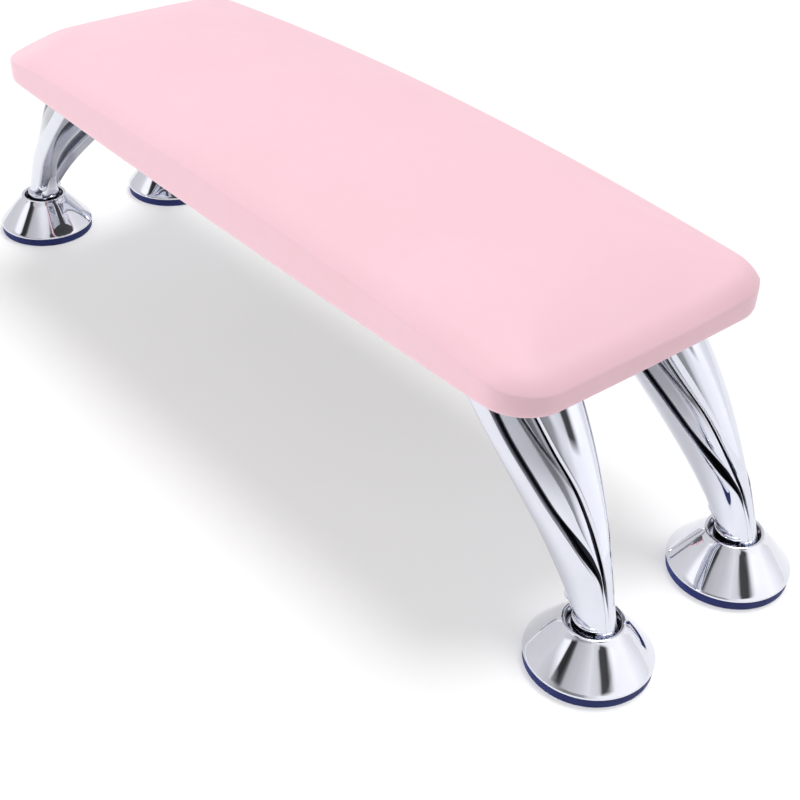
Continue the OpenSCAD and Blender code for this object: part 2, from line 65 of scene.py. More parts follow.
def make_camera():
    az, el, roll = (math.radians(a) for a in (CAMERA_AZIMUTH, CAMERA_ELEVATION, CAMERA_ROLL))
    back = Vector((math.sin(az) * math.cos(el), -math.cos(az) * math.cos(el), math.sin(el)))
    right = Vector((math.cos(az), math.sin(az), 0))
    up = back.cross(right)
    right, up = (
        math.cos(roll) * right + math.sin(roll) * up,
        -math.sin(roll) * right + math.cos(roll) * up,
    )
    data = bpy.data.cameras.new("camera")
    data.sensor_width = SENSOR_MM
    data.lens = FOCAL_PIXELS * SENSOR_MM / IMAGE_PIXELS
    data.clip_start = CLIP_START
    data.clip_end = CLIP_END
    camera = bpy.data.objects.new("camera", data)
    bpy.context.scene.collection.objects.link(camera)
    matrix = Matrix((right, up, back)).transposed().to_4x4()
    matrix.translation = CAMERA_TARGET + back * CAMERA_DISTANCE
    camera.matrix_world = matrix
    bpy.context.scene.camera = camera


make_camera()
bpy.context.scene.view_settings.view_transform = "Standard"


# Small node helpers

def new_material(name):
    mat = bpy.data.materials.new(name)
    mat.use_nodes = True
    return mat, mat.node_tree, mat.node_tree.nodes["Principled BSDF"]


def node(tree, kind, **values):
    """Adds a node; values set its sockets by name, or its properties where no socket has that name."""
    n = tree.nodes.new(kind)
    for key, value in values.items():
        name = key.replace("_", " ")
        sockets = [s for s in n.inputs if s.name.lower() == name.lower()]
        if sockets:
            sockets[0].default_value = value
        else:
            setattr(n, key, value)
    return n


def coords(tree, stretch=(1, 1, 1)):
    """Object coordinates in metres, stretched for directional patterns."""
    place = node(tree, "ShaderNodeTexCoord")
    mapping = node(tree, "ShaderNodeMapping")
    mapping.inputs["Scale"].default_value = stretch
    tree.links.new(place.outputs["Object"], mapping.inputs["Vector"])
    return mapping.outputs["Vector"]


def noise(tree, vector, grain_size, detail=3.0, roughness=0.5):
    """A noise whose spots are about grain_size across."""
    n = node(tree, "ShaderNodeTexNoise", Scale=1 / grain_size, Detail=detail, Roughness=roughness)
    tree.links.new(vector, n.inputs["Vector"])
    return n.outputs["Fac"]


def spread(tree, value, low, high, at=(0.3, 0.7)):
    """Maps a 0 to 1 pattern to the range low to high."""
    n = node(tree, "ShaderNodeMapRange")
    for name, v in (("From Min", at[0]), ("From Max", at[1]), ("To Min", low), ("To Max", high)):
        n.inputs[name].default_value = v
    tree.links.new(value, n.inputs["Value"])
    return n.outputs["Result"]


def blend(tree, factor, first, second):
    """Mixes two colours, each a tuple or a socket."""
    n = node(tree, "ShaderNodeMix", data_type="RGBA")
    tree.links.new(factor, n.inputs["Factor"])
    for socket, colour in ((n.inputs[6], first), (n.inputs[7], second)):
        if isinstance(colour, tuple):
            socket.default_value = (*colour, 1)
        else:
            tree.links.new(colour, socket)
    return n.outputs[2]


def darker(colour, share):
    return tuple(c * share for c in colour)


def surface(tree, bsdf, colour, rough, *layers):
    """Gives a shader its colour, its roughness as a pattern or a number, and bump maps, each from a layer of
    (height socket, depth in metres, strength)."""
    tree.links.new(colour, bsdf.inputs["Base Color"])
    if isinstance(rough, float):
        bsdf.inputs["Roughness"].default_value = rough
    else:
        tree.links.new(rough, bsdf.inputs["Roughness"])
    normal = None
    for height, depth, strength in layers:
        n = node(tree, "ShaderNodeBump", Strength=strength, Distance=depth)
        tree.links.new(height, n.inputs["Height"])
        if normal is not None:
            tree.links.new(normal, n.inputs["Normal"])
        normal = n.outputs["Normal"]
    if normal is not None:
        tree.links.new(normal, bsdf.inputs["Normal"])


def total(tree, first, second, how="ADD"):
    n = node(tree, "ShaderNodeMath", operation=how)
    for socket, value in zip(n.inputs, (first, second)):
        if isinstance(value, (int, float)):
            socket.default_value = value
        else:
            tree.links.new(value, socket)
    return n.outputs["Value"]


# Materials

# The sizes of patterns are those of their spots, and the depths are those of the bumps
PINK, PALE_PINK, DEEP_PINK, WORN_PINK = (
    (0.85, 0.553, 0.622), (0.86, 0.573, 0.642), (0.835, 0.535, 0.608), (0.875, 0.61, 0.68),
)
BLOTCH_SIZE, MOTTLE_SIZE, GLOSS_SIZE, SAG_SIZE = 70 * MM, 6 * MM, 20 * MM, 50 * MM
GRAIN_SIZE, PORE_SIZE = 1.1 * MM, 0.5 * MM
GRAIN_D, PORE_D, SAG_D = 0.1 * MM, 0.04 * MM, 0.6 * MM


def leather_material():
    mat, tree, bsdf = new_material("pink_leatherette")
    place = coords(tree)
    blotch = spread(tree, noise(tree, place, BLOTCH_SIZE, 2), 0, 1)
    mottle = spread(tree, noise(tree, place, MOTTLE_SIZE, 3), 0, 0.35)
    colour = blend(tree, blotch, PINK, PALE_PINK)
    colour = blend(tree, mottle, colour, DEEP_PINK)
    edge = node(tree, "ShaderNodeNewGeometry").outputs["Pointiness"]
    colour = blend(tree, spread(tree, edge, 0, 0.5, (0.51, 0.56)), colour, WORN_PINK)
    cells = node(tree, "ShaderNodeTexVoronoi", feature="SMOOTH_F1", Scale=1 / GRAIN_SIZE, Smoothness=0.6)
    tree.links.new(place, cells.inputs["Vector"])
    rough = spread(tree, noise(tree, place, GLOSS_SIZE, 4), 0.46, 0.56)
    grain = (cells.outputs["Distance"], GRAIN_D, 0.12)
    pores = (noise(tree, place, PORE_SIZE, 2), PORE_D, 0.15)
    sag = (noise(tree, place, SAG_SIZE, 1), SAG_D, 0.12)
    surface(tree, bsdf, colour, rough, grain, pores, sag)
    bsdf.inputs["Sheen Weight"].default_value = 0.12
    bsdf.inputs["Sheen Roughness"].default_value = 0.4
    bsdf.inputs["Specular IOR Level"].default_value = 0.4
    return mat


# Near black for the painted shade in slits, recesses and on the strands' tops
PAINTED_SHADE_DARK = (0.025, 0.025, 0.035)
CLOUD_SIZE, HAIR_SIZE, WAVE_SIZE = 15 * MM, 0.7 * MM, 12 * MM
HAIR_D, WAVE_D = 0.01 * MM, 0.3 * MM


def chrome_material(name, colour, dulled):
    """Polished plating; a mask attribute of the mesh marks where the polish is dull and where painted shade
    darkens it towards near black, in slits, recesses and high on the strands.
    """
    mat, tree, bsdf = new_material(name)
    place = coords(tree)
    slit = node(tree, "ShaderNodeAttribute", attribute_name="slit").outputs["Fac"]
    cloud = spread(tree, noise(tree, place, CLOUD_SIZE, 3), 0, 1)
    base = blend(tree, cloud, colour, darker(colour, 0.94))
    # Painted shade: the mask darkens the plating towards near black, standing in for shade and dark reflections
    base = blend(tree, slit, base, PAINTED_SHADE_DARK)
    hair = noise(tree, coords(tree, (1, 1, 0.06)), HAIR_SIZE, 2)
    polish = spread(tree, cloud, 0.015, 0.035, (0, 1))
    rough = total(tree, polish, spread(tree, hair, 0, 0.02, (0.55, 0.75)))
    rough = total(tree, rough, spread(tree, slit, 0, dulled, (0, 1)))
    wave = noise(tree, place, WAVE_SIZE, 1)
    surface(tree, bsdf, base, rough, (wave, WAVE_D, 0.06), (hair, HAIR_D, 0.1))
    bsdf.inputs["Metallic"].default_value = 1
    return mat


LINE_SIZE, SPOT_SIZE, LINE_D = 1.2 * MM, 3 * MM, 0.03 * MM


def steel_material(name, colour, stretch):
    mat, tree, bsdf = new_material(name)
    lines = noise(tree, coords(tree, stretch), LINE_SIZE, 4)
    spots = spread(tree, noise(tree, coords(tree), SPOT_SIZE, 2), 0, 1)
    base = blend(tree, spots, colour, darker(colour, 0.82))
    surface(tree, bsdf, base, spread(tree, lines, 0.24, 0.42), (lines, LINE_D, 0.25))
    bsdf.inputs["Metallic"].default_value = 1
    return mat


RUBBER_BLUE, DUSTY_BLUE = (0.012, 0.02, 0.11), (0.02, 0.03, 0.14)
DUST_SIZE, RUBBER_GRAIN, RUBBER_GRAIN_D = 8 * MM, 0.6 * MM, 0.06 * MM


def rubber_material():
    mat, tree, bsdf = new_material("blue_rubber")
    place = coords(tree)
    dust = spread(tree, noise(tree, place, DUST_SIZE, 4), 0, 1)
    colour = blend(tree, dust, RUBBER_BLUE, DUSTY_BLUE)
    grain = noise(tree, place, RUBBER_GRAIN, 3)
    surface(tree, bsdf, colour, spread(tree, grain, 0.5, 0.68), (grain, RUBBER_GRAIN_D, 0.3))
    bsdf.inputs["Specular IOR Level"].default_value = 0.25
    return mat


CLOTH_BLACK, CLOTH_GREY = (0.012, 0.012, 0.014), (0.045, 0.045, 0.05)
FIBRE_SIZE, DOT_SIZE, FIBRE_D, DOT_D = 0.8 * MM, 1.8 * MM, 0.1 * MM, 0.2 * MM


def cloth_material():
    mat, tree, bsdf = new_material("black_lining")
    place = coords(tree)
    fibres = noise(tree, place, FIBRE_SIZE, 6, 0.7)
    dots = node(tree, "ShaderNodeTexVoronoi", Scale=1 / DOT_SIZE)
    tree.links.new(place, dots.inputs["Vector"])
    colour = blend(tree, fibres, CLOTH_BLACK, CLOTH_GREY)
    rough = spread(tree, fibres, 0.8, 0.95)
    surface(tree, bsdf, colour, rough, (dots.outputs["Distance"], DOT_D, 0.4), (fibres, FIBRE_D, 0.5))
    bsdf.inputs["Sheen Weight"].default_value = 0.2
    return mat


BIRCH_DARK, BIRCH_LIGHT, PLY_LINE = (0.62, 0.44, 0.26), (0.78, 0.6, 0.4), (0.45, 0.29, 0.15)
WOOD_GRAIN, WOOD_GRAIN_D, PLY_WAVE = 2 * MM, 0.1 * MM, 10.5 * MM


def wood_material():
    mat, tree, bsdf = new_material("birch_plywood")
    grain = noise(tree, coords(tree, (0.06, 1, 1)), WOOD_GRAIN, 6, 0.6)
    layers = node(tree, "ShaderNodeTexWave", bands_direction="Z", Scale=1 / PLY_WAVE, Distortion=0.4)
    tree.links.new(coords(tree), layers.inputs["Vector"])
    colour = blend(tree, grain, BIRCH_DARK, BIRCH_LIGHT)
    band = spread(tree, layers.outputs["Fac"], 0, 0.45, (0.4, 0.6))
    colour = blend(tree, band, colour, PLY_LINE)
    surface(tree, bsdf, colour, spread(tree, grain, 0.6, 0.8), (grain, WOOD_GRAIN_D, 0.4))
    return mat


FOAM_DARK, FOAM_LIGHT = (0.7, 0.62, 0.42), (0.9, 0.84, 0.66)
CELL_SIZE, CELL_D = 1.2 * MM, 0.4 * MM


def foam_material():
    mat, tree, bsdf = new_material("cream_foam")
    cells = node(tree, "ShaderNodeTexVoronoi", Scale=1 / CELL_SIZE)
    tree.links.new(coords(tree), cells.inputs["Vector"])
    shade = spread(tree, cells.outputs["Distance"], 0, 1, (0, 0.8))
    surface(tree, bsdf, blend(tree, shade, FOAM_DARK, FOAM_LIGHT), 0.9, (shade, CELL_D, 0.8))
    return mat


FLOOR_SHADE, FLOOR_LIGHT, HAZE_SIZE = (0.87, 0.87, 0.87), (0.9, 0.9, 0.9), 400 * MM


def floor_material():
    mat, tree, bsdf = new_material("pale_floor")
    haze = spread(tree, noise(tree, coords(tree), HAZE_SIZE, 2), 0, 1)
    surface(tree, bsdf, blend(tree, haze, FLOOR_SHADE, FLOOR_LIGHT), 0.75)
    bsdf.inputs["Specular IOR Level"].default_value = 0.2
    return mat


LEG_PLATING, CUP_PLATING, WASHER_METAL = (0.77, 0.79, 0.87), (0.79, 0.8, 0.86), (0.8, 0.8, 0.83)
SCREW_METAL, STAPLE_METAL = (0.6, 0.61, 0.64), (0.68, 0.68, 0.7)
MATERIALS = {
    "leather": leather_material(),
    "leg_chrome": chrome_material("leg_chrome", LEG_PLATING, 0.3),
    "cup_chrome": chrome_material("cup_chrome", CUP_PLATING, 0.2),
    "washer_steel": chrome_material("bright_washer", WASHER_METAL, 0.2),
    "screw_steel": steel_material("zinc_steel", SCREW_METAL, (1, 1, 0.2)),
    "staple_steel": steel_material("staple_wire", STAPLE_METAL, (0.2, 0.2, 1)),
    "sole_rubber": rubber_material(),
    "lining": cloth_material(),
    "plywood": wood_material(),
    "foam": foam_material(),
}


def dress_nodes():
    """Gives each carried-over CAD node the procedural material of its slot."""
    for part in frame["record"]["subparts"]:
        data = frame["nodes"][part["node"]].data
        data.materials.clear()
        data.materials.append(MATERIALS[part["material_slot"]])


dress_nodes()


# Mesh helpers

def even(first, last, count):
    """Evenly spaced values from first to last."""
    return [first + (last - first) * i / (count - 1) for i in range(count)]


def rise(t, a, b):
    """A smooth step from 0 at a to 1 at b."""
    x = min(1, max(0, (t - a) / (b - a)))
    return x * x * (3 - 2 * x)


SHARP_ANGLE = math.radians(38)
# Lengths below this count as zero
NO_SIZE = 1e-7


def make_piece(name, points, faces, slot, body, stands_for):
    """Builds a piece from points and faces, smooth but for its sharp edges, in place of a CAD node."""
    data = bpy.data.meshes.new(name)
    data.from_pydata([tuple(p) for p in points], [], faces)
    bm = bmesh.new()
    bm.from_mesh(data)
    bmesh.ops.recalc_face_normals(bm, faces=bm.faces)
    for face in bm.faces:
        face.smooth = True
    for edge in bm.edges:
        edge.smooth = len(edge.link_faces) == 2 and edge.calc_face_angle(0) < SHARP_ANGLE
    bm.to_mesh(data)
    bm.free()
    data.materials.append(MATERIALS[slot])
    piece = bpy.data.objects.new(name, data)
    bpy.context.scene.collection.objects.link(piece)
    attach(piece, body)
    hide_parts(stands_for)
    return piece


def lathe(profile, steps, centre=(0, 0)):
    """Points and faces of a form turned round a vertical axis; a profile point on it becomes a pole."""
    points, rows = [], []
    for r, z in profile:
        if r < NO_SIZE:
            rows.append([len(points)])
            points.append((centre[0], centre[1], z))
            continue
        rows.append(list(range(len(points), len(points) + steps)))
        for i in range(steps):
            a = 2 * math.pi * i / steps
            points.append((centre[0] + r * math.cos(a), centre[1] + r * math.sin(a), z))
    faces = []
    for low, high in zip(rows, rows[1:]):
        for i in range(steps):
            j = (i + 1) % steps
            if len(low) == 1:
                faces.append((low[0], high[j], high[i]))
            elif len(high) == 1:
                faces.append((low[i], low[j], high[0]))
            else:
                faces.append((low[i], low[j], high[j], high[i]))
    return points, faces


def joined(*parts):
    """Joins (points, faces) pairs into one."""
    points, faces = [], []
    for p, f in parts:
        base = len(points)
        points.extend(p)
        faces.extend([tuple(i + base for i in face) for face in f])
    return points, faces


def tube_faces(rings, cols, capped=True):
    """Quads between closed rings of cols points each, a cap on the last and, where capped, on the first."""
    faces = [
        (r * cols + i, r * cols + (i + 1) % cols, (r + 1) * cols + (i + 1) % cols, (r + 1) * cols + i)
        for r in range(rings - 1)
        for i in range(cols)
    ]
    if capped:
        faces.append(tuple(reversed(range(cols))))
    faces.append(tuple(range((rings - 1) * cols, rings * cols)))
    return faces


CORNERS = {"front_right": (1, -1), "rear_right": (1, 1), "front_left": (-1, -1), "rear_left": (-1, 1)}


def foot_axis(corner):
    low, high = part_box("foot_cup_" + corner)
    return (low[0] + high[0]) / 2, (low[1] + high[1]) / 2


# Pad sizes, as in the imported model
PAD_L, PAD_W = 380 * MM, 134 * MM
CORNER_R, EDGE_R = 18 * MM, 10 * MM
SIDE_BOW, END_BOW = 1.1 * MM, 0.7 * MM
UNDERSIDE, SIDE_H = 106 * MM, 7.2 * MM
ARCH, CROWN = 7.2 * MM, 4 * MM
# Height of the rolled bottom edge, and its middle as a share of that height
BOTTOM_ROLL, ROLL_SHARE = 1.1 * MM, 0.3
# Heights on the flat side face at which it has a ring, as shares of the face above the rolled edge
FACE_SHARES = (1, 0.92, 0.5, 0)
# Spacing of the mesh
PAD_STEP = 3.6 * MM
# The pad starts this much lower than it ends, and cloth pressure swells it by SWELL_CAP at most
SWELL, SWELL_CAP = 0.4 * MM, 5 * MM
CLOTH_FRAMES = 20
# How far the foam's top lies below the leather's, and the height of its underside
FOAM_SINK, FOAM_LOW = 1.2 * MM, 114.9 * MM
# Small pleats under the pad's corners: how many on a full turn, and their depth
PLEATS, PLEAT_D = 16, 0.35 * MM
# The flat side face ends in a crease, from which the soft top rises in a narrow shoulder and a broad pillow.
# At the right end, but for its rear corner, crease and shoulder are lower, and at the front left corner the
# top is flatter
FACE_H, FACE_DROP = 10.6 * MM, 2.2 * MM
TOP_H = SIDE_H + EDGE_R + CROWN
SHOULDER_H, SHOULDER_DROP, SHOULDER_REACH = 4.6 * MM, 1.6 * MM, 8 * MM
PILLOW_REACH, CORNER_FLAT = 55 * MM, 0.75
# Where the lower stretch begins and ends, as shares of half the pad's length, and of half its width
LOW_END_SHARES, LOW_REAR_SHARES = (0.6, 1), (0.3, 1)
# Distances from the edge, between crease and top grid, at which the soft top has a ring
SOFT_INSETS = [d * MM for d in (8.3, 6.7, 5.2, 3.8, 2.5, 1.3, 0.5)]
# Upholstery leaves each corner a little different; keys are the signs of x and y
CORNER_ROUND = {(1, -1): 15 * MM, (1, 1): 12.5 * MM, (-1, -1): 19 * MM, (-1, 1): 18 * MM}
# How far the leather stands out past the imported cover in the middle, how much that gains at the right end and
# loses at the left one, and how much further the long sides bulge at mid-length
GROW, GROW_SLOPE, BULGE = 0.8 * MM, 0.6 * MM, 1.0 * MM
# The left end is drawn rounder than the right one, and its front corner lower
LEFT_BOW, LEFT_DRAW = 2.4 * MM, 0.6 * MM
CORNER_SINK, SINK_REACH = 2 * MM, 38 * MM


def corner_round(x, y):
    return CORNER_ROUND[(1 if x >= 0 else -1, 1 if y >= 0 else -1)] - EDGE_R


def corner_plan(x, y, half_x, half_y):
    """Moves a point of a rectangle into the rounded rectangle that fits in it."""
    r = corner_round(x, y)
    a, b = (abs(x) - (half_x - r)) / r, (abs(y) - (half_y - r)) / r
    if a <= 0 or b <= 0:
        return x, y
    px = half_x - r + r * a * math.sqrt(1 - b * b / 2)
    py = half_y - r + r * b * math.sqrt(1 - a * a / 2)
    return math.copysign(px, x), math.copysign(py, y)


def bowed(x, y):
    u, v = 2 * x / PAD_L, 2 * y / PAD_W
    end = END_BOW * (1 - v * v)
    if u < 0:
        end += (LEFT_BOW * (1 - v * v) - LEFT_DRAW) * u * u
    return x + u * end, y + v * (SIDE_BOW + BULGE) * (1 - u * u)


def grown(x):
    return GROW + GROW_SLOPE * 2 * x / PAD_L


def near_left_corner(x, y):
    """1 at the front left corner, fading to 0 round it."""
    away = math.hypot(x + PAD_L / 2, y + PAD_W / 2) / SINK_REACH
    return max(0, 1 - away * away) ** 2


def arch_at(x):
    u = min(1, abs(2 * x / PAD_L))
    return ARCH * (1 - u * u)


# How soft the mitres are where the pad's slopes meet, and the least distance that they are worked out with
MITRE_POWER, MITRE_GAP = 3, 1e-6


def edge_distance(x, y):
    """How far a point of the straight plan lies in from its outline, with soft mitres at the corners."""
    r = corner_round(x, y) + EDGE_R
    a, b = abs(x) - (PAD_L / 2 - r), abs(y) - (PAD_W / 2 - r)
    if a > 0 or b > 0:
        return r - math.hypot(max(0, a), max(0, b))
    a, b = min(a, -MITRE_GAP), min(b, -MITRE_GAP)
    return r + (abs(a) ** -MITRE_POWER + abs(b) ** -MITRE_POWER) ** (-1 / MITRE_POWER)


def lowered(x, y):
    """1 at the right end, fading to 0 towards the middle and the rear corner."""
    return rise(2 * x / PAD_L, *LOW_END_SHARES) * (1 - rise(2 * y / PAD_W, *LOW_REAR_SHARES))


def face_top(x, y):
    return FACE_H - FACE_DROP * lowered(x, y)


def top_height(x, y, d):
    """Height of the top above the underside before it swells, d in from the outline."""
    low, shoulder = face_top(x, y), SHOULDER_H - SHOULDER_DROP * lowered(x, y)
    soft = shoulder * (1 - max(0, 1 - d / SHOULDER_REACH) ** 2)
    soft += (TOP_H - low - shoulder) * (1 - max(0, 1 - d / PILLOW_REACH) ** 2)
    return low + soft * (1 - CORNER_FLAT * near_left_corner(x, y)) - SWELL * rise(d, 0, SHOULDER_REACH)


def pad_form(sink, rings_at, bottom_z):
    """Points, faces and pin weights of a closed form on the pad's plan. Its top lies sink below the leather's
    and its underside is flat; rings_at lists (reach, height function, pin weight, share of the arch, share
    of the growth) from its top to its bottom."""
    half_x, half_y = PAD_L / 2 - EDGE_R, PAD_W / 2 - EDGE_R
    nx, ny = round(2 * half_x / PAD_STEP), round(2 * half_y / PAD_STEP)
    xs = even(-half_x, half_x, nx + 1)
    ys = even(-half_y, half_y, ny + 1)
    # The loop round the grid, counter-clockwise, with the outward direction of each of its points
    loop = [(i, 0) for i in range(nx)] + [(nx, j) for j in range(ny)]
    loop += [(i, ny) for i in range(nx, 0, -1)] + [(0, j) for j in range(ny, 0, -1)]
    points, pins = [], []

    def add(x, y, z, pin, lift=1.0):
        bx, by = bowed(x, y)
        points.append((bx, by, z + lift * (arch_at(x) - CORNER_SINK * near_left_corner(x, y))))
        pins.append(pin)
        return len(points) - 1

    def grid(height, pin, lift):
        index = {}
        for i, x in enumerate(xs):
            for j, y in enumerate(ys):
                px, py = corner_plan(x, y, half_x, half_y)
                index[i, j] = add(px, py, height(px, py), pin, lift)
        return index

    top = grid(lambda x, y: UNDERSIDE + top_height(x, y, edge_distance(x, y)) - sink, 0.0, 1.0)
    outward = []
    for i, j in loop:
        px, py = corner_plan(xs[i], ys[j], half_x, half_y)
        r = corner_round(px, py)
        away = Vector((
            px - math.copysign(min(abs(px), half_x - r), px),
            py - math.copysign(min(abs(py), half_y - r), py),
        ))
        outward.append((px, py, away.normalized()))

    rings = [[top[c] for c in loop]]
    for reach, height, pin, lift, grow in rings_at:
        ring = []
        for px, py, d in outward:
            r = reach + grow * grown(px)
            x, y = px + d.x * r, py + d.y * r
            ring.append(add(x, y, UNDERSIDE + height(x, y), pin, lift))
        rings.append(ring)
    bottom = grid(lambda x, y: bottom_z, 1.0, 0.0)
    rings.append([bottom[c] for c in loop])
    faces = []
    for i in range(nx):
        for j in range(ny):
            square = [(i, j), (i + 1, j), (i + 1, j + 1), (i, j + 1)]
            faces.append(tuple(top[c] for c in square))
            faces.append(tuple(bottom[c] for c in reversed(square)))
    n = len(loop)
    for high, low in zip(rings, rings[1:]):
        faces.extend((high[k], low[k], low[(k + 1) % n], high[(k + 1) % n]) for k in range(n))
    return points, faces, pins


def soft_rings(sink):
    """The rings of the soft top near its edge, sink below the leather's and inset from it as much."""
    return [
        (EDGE_R - sink - d, lambda x, y, d=d: top_height(x, y, d) - sink, 0.0, 1.0, 1.0 - d / EDGE_R)
        for d in SOFT_INSETS
    ]


def leather_form():
    """The closed pad, a little low, with its flat side face and rolled bottom edge."""
    rings = soft_rings(0)
    for share in FACE_SHARES:
        rings.append((
            EDGE_R,
            lambda x, y, share=share: BOTTOM_ROLL + (face_top(x, y) - BOTTOM_ROLL) * share,
            1.0, share, 1.0,
        ))
    middle = BOTTOM_ROLL * ROLL_SHARE
    rings.append((EDGE_R - middle, lambda x, y: middle, 1.0, 0.0, 1.0))
    rings.append((EDGE_R - BOTTOM_ROLL, lambda x, y: 0, 1.0, 0.0, 1.0))
    rings.append((EDGE_R / 2, lambda x, y: 0, 1.0, 0.0, 0.5))
    return pad_form(0, rings, UNDERSIDE)


def make_foam():
    """The foam block under the leather, down to the board."""
    rings = soft_rings(FOAM_SINK)
    reach, height, pin, lift, grow = rings[-1]
    rings.append((reach, lambda x, y: FOAM_LOW - UNDERSIDE, pin, 0.0, grow))
    points, faces, pins = pad_form(FOAM_SINK, rings, FOAM_LOW)
    make_piece("foam_block", points, faces, "foam", "pad", "foam_core")


def swell(piece, pins):
    """Blows the pad up as a cloth under pressure, with its underside held, and keeps the result."""
    group = piece.vertex_groups.new(name="held")
    for index, pin in enumerate(pins):
        if pin > 0:
            group.add([index], pin, "REPLACE")
    cloth = piece.modifiers.new("cloth", "CLOTH")
    settings = cloth.settings
    settings.quality = 6
    settings.mass = 0.4
    settings.tension_stiffness = 60
    settings.compression_stiffness = 60
    settings.shear_stiffness = 30
    settings.bending_stiffness = 4
    settings.use_pressure = True
    settings.uniform_pressure_force = 4
    settings.vertex_group_mass = "held"
    settings.effector_weights.gravity = 0
    cloth.point_cache.frame_start = 1
    cloth.point_cache.frame_end = CLOTH_FRAMES
    scene = bpy.context.scene
    for step in range(1, CLOTH_FRAMES + 1):
        scene.frame_set(step)
    shape = piece.evaluated_get(bpy.context.evaluated_depsgraph_get()).data
    moved = [v.co.copy() for v in shape.vertices]
    piece.modifiers.remove(cloth)
    piece.vertex_groups.remove(group)
    scene.frame_set(1)
    # Nowhere may the pad sink below its start, because the foam fills it
    outward = [v.normal.copy() for v in piece.data.vertices]
    for vertex, target, normal in zip(piece.data.vertices, moved, outward):
        step = target - vertex.co
        step -= min(0, step.dot(normal)) * normal
        if step.length > SWELL_CAP:
            step *= SWELL_CAP / step.length
        vertex.co += step


def pleat_corners(piece):
    """Gathers the turned-in leather in small pleats under the pad's corners."""
    centre_x, centre_y = PAD_L / 2 - CORNER_R, PAD_W / 2 - CORNER_R
    for vertex in piece.data.vertices:
        x, y = abs(vertex.co.x) - centre_x, abs(vertex.co.y) - centre_y
        if vertex.co.z > UNDERSIDE + BOTTOM_ROLL or x < 0 or y < 0:
            continue
        reach = min(1, math.hypot(x, y) / CORNER_R)
        wave = 0.5 + 0.5 * math.cos(PLEATS * math.atan2(y, x))
        vertex.co.z -= PLEAT_D * wave * math.sin(math.pi * reach)


def make_pad():
    points, faces, pins = leather_form()
    piece = make_piece("padded_board", points, faces, "leather", "pad", "leather_cover")
    for polygon in piece.data.polygons:
        polygon.use_smooth = True
    for edge in piece.data.edges:
        edge.use_edge_sharp = False
    swell(piece, pins)
    pleat_corners(piece)
    smooth = piece.modifiers.new("smoothed", "SUBSURF")
    smooth.levels = smooth.render_levels = 1


make_pad()
make_foam()


# Leg casting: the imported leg, drawn finer, with slits of two widths and an outer side that is a little wider
LEG_REACH, LEG_LEAN = 44.8 * MM, 6 * MM
ROOT_L, ROOT_W = 50.4 * MM, 33 * MM
NECK_L, NECK_W = 19 * MM, 14 * MM
NECK_Z = 22 * MM
SECTION_TURN = math.radians(5.8)
SLIT_D, STRAND_SINK = 3.2 * MM, 1.1 * MM
REAR_SLIT_W, FRONT_SLIT_W, SLIT_WIDENS = 0.8 * MM, 1.9 * MM, 2.2 * MM
# Depths at which a slit's wall turns in and its edge starts to round, and the height of the blade's ridge
SLIT_LIP, EDGE_DROP, RIDGE_H = 1.2 * MM, 0.05 * MM, 0.35 * MM
# A crease on the strand, at this share of its width near the plate, and the step down in front of it
CREASE_D, CREASE_SHARE, STRAND_STEP = 0.4 * MM, 0.44, 0.3 * MM
CHAMFER_W, CHAMFER_D = 1.3 * MM, 0.4 * MM
OUTER_LAND_W, INNER_LAND_W, HOLLOW_DEPTH, NUB_R = 1.6 * MM, 6 * MM, 11 * MM, 2.4 * MM
PLATE_Z, PLATE_T, PLATE_W, PLATE_R = 102.4 * MM, 3 * MM, 44 * MM, 6 * MM
PLATE_FRONT, PLATE_TAB = 3 * MM, 12.6 * MM
SCREW_EDGE, SCREW_SIDE = 6.5 * MM, 5 * MM
REAR_ANGLE, WING_ANGLE = math.radians(115), math.radians(104)
WING, WING_TURN = 0.07, 0.07
FRONT_LINE = (0, 0.16, 0.44, 1)
REAR_LINE = (0, 0.23, 0.66, 1)
WIDTHS = (0, -0.05, 0.99, 1)
SLIT_KNOTS = (-0.1, 0, 0.22, 0.34, 0.47, 0.6, 0.75, 1)
REAR_SLIT = (21, 21, 25, 50, 68, 78, 86, 90)
FRONT_SLIT = (11, 11, 17, 24, 30, 35, 45, 54)
# Where the hollow begins and ends on the way up, how it is skewed and filled as a leaf, how square it is
HOLLOW_LOW, HOLLOW_HIGH = 0.2, 0.94
LEAF_SKEW, LEAF_FILL, HOLLOW_POWER = 1.25, 0.6, 0.62
HOLLOW_STEPS = 18
# The height of the nubs, as a share of the way up, and how far they are let into the casting
NUB_SHARE, NUB_ROOT = 0.085, 3.5 * MM
LEG_ROWS = 84
EDGE_ROUND = 0.45 * MM
FLARE = 1.6 * MM
# How dull the plating is, and how far painted shade darkens it, on the land round the hollow, at its outer and
# inner wall, and high on the strands
LAND_DULL_AND_SHADE, OUTER_DULL_AND_SHADE, INNER_DULL_AND_SHADE, STRAND_DULL_AND_SHADE = 0.5, 0.65, 0.15, 0.42


def bezier(c, t):
    return (
        c[0] * (1 - t) ** 3 + 3 * c[1] * t * (1 - t) ** 2 + 3 * c[2] * t * t * (1 - t) + c[3] * t ** 3
    )


def curve_at(t, knots, values):
    """A smooth curve through values given at knots."""
    last = len(knots) - 1
    i = max(k for k in range(last) if k == 0 or t > knots[k])

    def slope(k):
        a, b = max(0, k - 1), min(last, k + 1)
        return (values[b] - values[a]) / (knots[b] - knots[a])

    w = knots[i + 1] - knots[i]
    x = (t - knots[i]) / w
    return (
        values[i] * (1 + 2 * x) * (1 - x) ** 2 + slope(i) * w * x * (1 - x) ** 2
        + values[i + 1] * x * x * (3 - 2 * x) + slope(i + 1) * w * x * x * (x - 1)
    )


